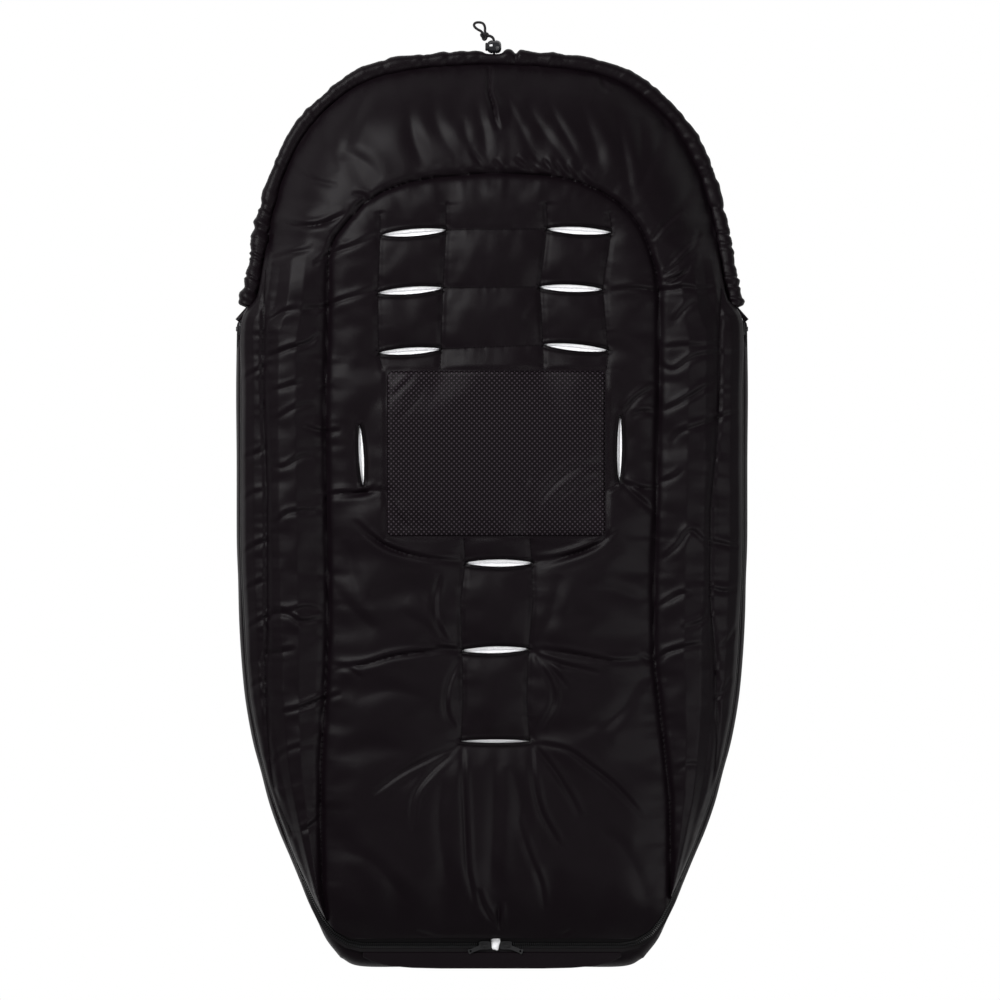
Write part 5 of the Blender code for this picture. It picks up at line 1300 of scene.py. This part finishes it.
CORD_RADIUS = 0.0013
CORD_POINTS = 110
STRAND_HEIGHT = 0.0087
LOWER_STRAND_HEIGHT = 0.0057
STRAND = (
    (0.0020, 0.4552), (0.0020, 0.4600), (0.0020, 0.4660), (0.0018, 0.4705), (0.0006, 0.4733),
    (-0.0020, 0.4748), (-0.0055, 0.4755),
)
STRAND_END = (-0.0085, 0.4770, 0.0086)
LOOP_SPOTS = (
    (-0.0110, 0.4795), (-0.0145, 0.4815), (-0.0172, 0.4838), (-0.0181, 0.4860), (-0.0167, 0.4880),
    (-0.0132, 0.4886), (-0.0096, 0.4878), (-0.0076, 0.4854), (-0.0070, 0.4824), (-0.0070, 0.4795),
)
LOOP_HEIGHT = 0.0084
LOOP_FALL = 0.0024
KNOT_PLACE = (-0.0075, 0.4748, 0.0072)
KNOT_SIZE = (0.00115, 0.00115, 0.0013)
KNOT_STEPS = 72
KNOT_RADIUS = 0.00145


def make_cord():
    high = [(x, y, STRAND_HEIGHT) for x, y in STRAND]
    loop = [(x, y, LOOP_HEIGHT - LOOP_FALL * step / 9) for step, (x, y) in enumerate(LOOP_SPOTS)]
    low = [(x, y, LOWER_STRAND_HEIGHT) for x, y in reversed(STRAND)]
    line = resampled([*high, STRAND_END, *loop, *low], CORD_POINTS)
    item = add_threads("drawcord_free", [line], CORD_RADIUS, BRAID, "back", 4)
    turns = []
    for step in range(KNOT_STEPS + 1):
        angle = math.tau * step / KNOT_STEPS
        turn = (math.sin(angle) + 2 * math.sin(2 * angle), math.cos(angle) - 2 * math.cos(2 * angle),
                -math.sin(3 * angle))
        turns.append([spot + size * part for spot, size, part in zip(KNOT_PLACE, KNOT_SIZE, turn)])
    knot = add_threads("cord_overhand_knot", [turns], KNOT_RADIUS, BRAID, "back", 4)
    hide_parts("cord_strand_low", "cord_strand_high", "cord_loop")
    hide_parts("cord_knot")


KEPT = {
    "zip_tape": TAPE, "slider": PAINT, "pull": PAINT, "stop": TEETH, "eyelet": PAINT, "lock_barrel": PLASTIC,
    "lock_button": PLASTIC, "lock_spring": STEEL, "drawcord": BRAID, "foot_strip": NYLON,
}


def dress_cad():
    """Procedural materials on the CAD pieces that stay."""
    for name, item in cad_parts.items():
        for word, material in KEPT.items():
            if word in name:
                item.data.materials.clear()
                item.data.materials.append(material)


# Floor, light and camera

FLOOR_SIZE = 6.0
FLOOR_HEIGHT = -0.0006
WORLD_STRENGTH = 0.40
# Name, place, size and watts of each lamp
LAMPS = (("key", (-1.1, 1.2, 1.7), 1.0, 72), ("fill", (1.35, -0.75, 1.8), 1.4, 27))


def make_stage():
    corners = [(a * FLOOR_SIZE, b * FLOOR_SIZE, FLOOR_HEIGHT) for a, b in SQUARE]
    made = Nodes("floor_paper", (0.80, 0.80, 0.80), 0.9)
    floor = add_mesh("floor", corners, [(0, 1, 2, 3)], made.material, smooth=False)
    glow = made.add("ShaderNodeEmission", Strength=1.0)
    path = made.add("ShaderNodeLightPath")
    mix = made.add("ShaderNodeMixShader")
    made.join(path.outputs["Is Camera Ray"], mix.inputs[0])
    made.join(made.shader.outputs[0], mix.inputs[1])
    made.join(glow.outputs[0], mix.inputs[2])
    made.join(mix.outputs[0], made.tree.nodes["Material Output"].inputs["Surface"])
    world = bpy.data.worlds.new("studio")
    world.use_nodes = True
    backdrop = world.node_tree.nodes["Background"]
    backdrop.inputs["Color"].default_value = (1, 1, 1, 1)
    backdrop.inputs["Strength"].default_value = WORLD_STRENGTH
    bpy.context.scene.world = world
    for name, place, size, power in LAMPS:
        light = bpy.data.lights.new(name, "AREA")
        light.size = size
        light.energy = power
        item = link(name, light, None)
        item.location = place
        item.rotation_euler = (-Vector(place)).to_track_quat("-Z", "Y").to_euler()


def make_camera():
    lens_data = bpy.data.cameras.new("camera")
    lens_data.lens = LENS_MM
    lens_data.sensor_width = SENSOR_MM
    camera = link("camera", lens_data, None)
    camera.location = (CENTRE_X, CENTRE_Y, DISTANCE + OUTLINE_HEIGHT)
    bpy.context.scene.camera = camera


make_camera()
make_cord()
make_back()
make_slot_edges()
make_patch()
make_hem()
make_stitches()
make_foot_fleece()
make_teeth()
make_cover()
dress_cad()
make_stage()
bpy.context.scene.view_settings.view_transform = "Standard"
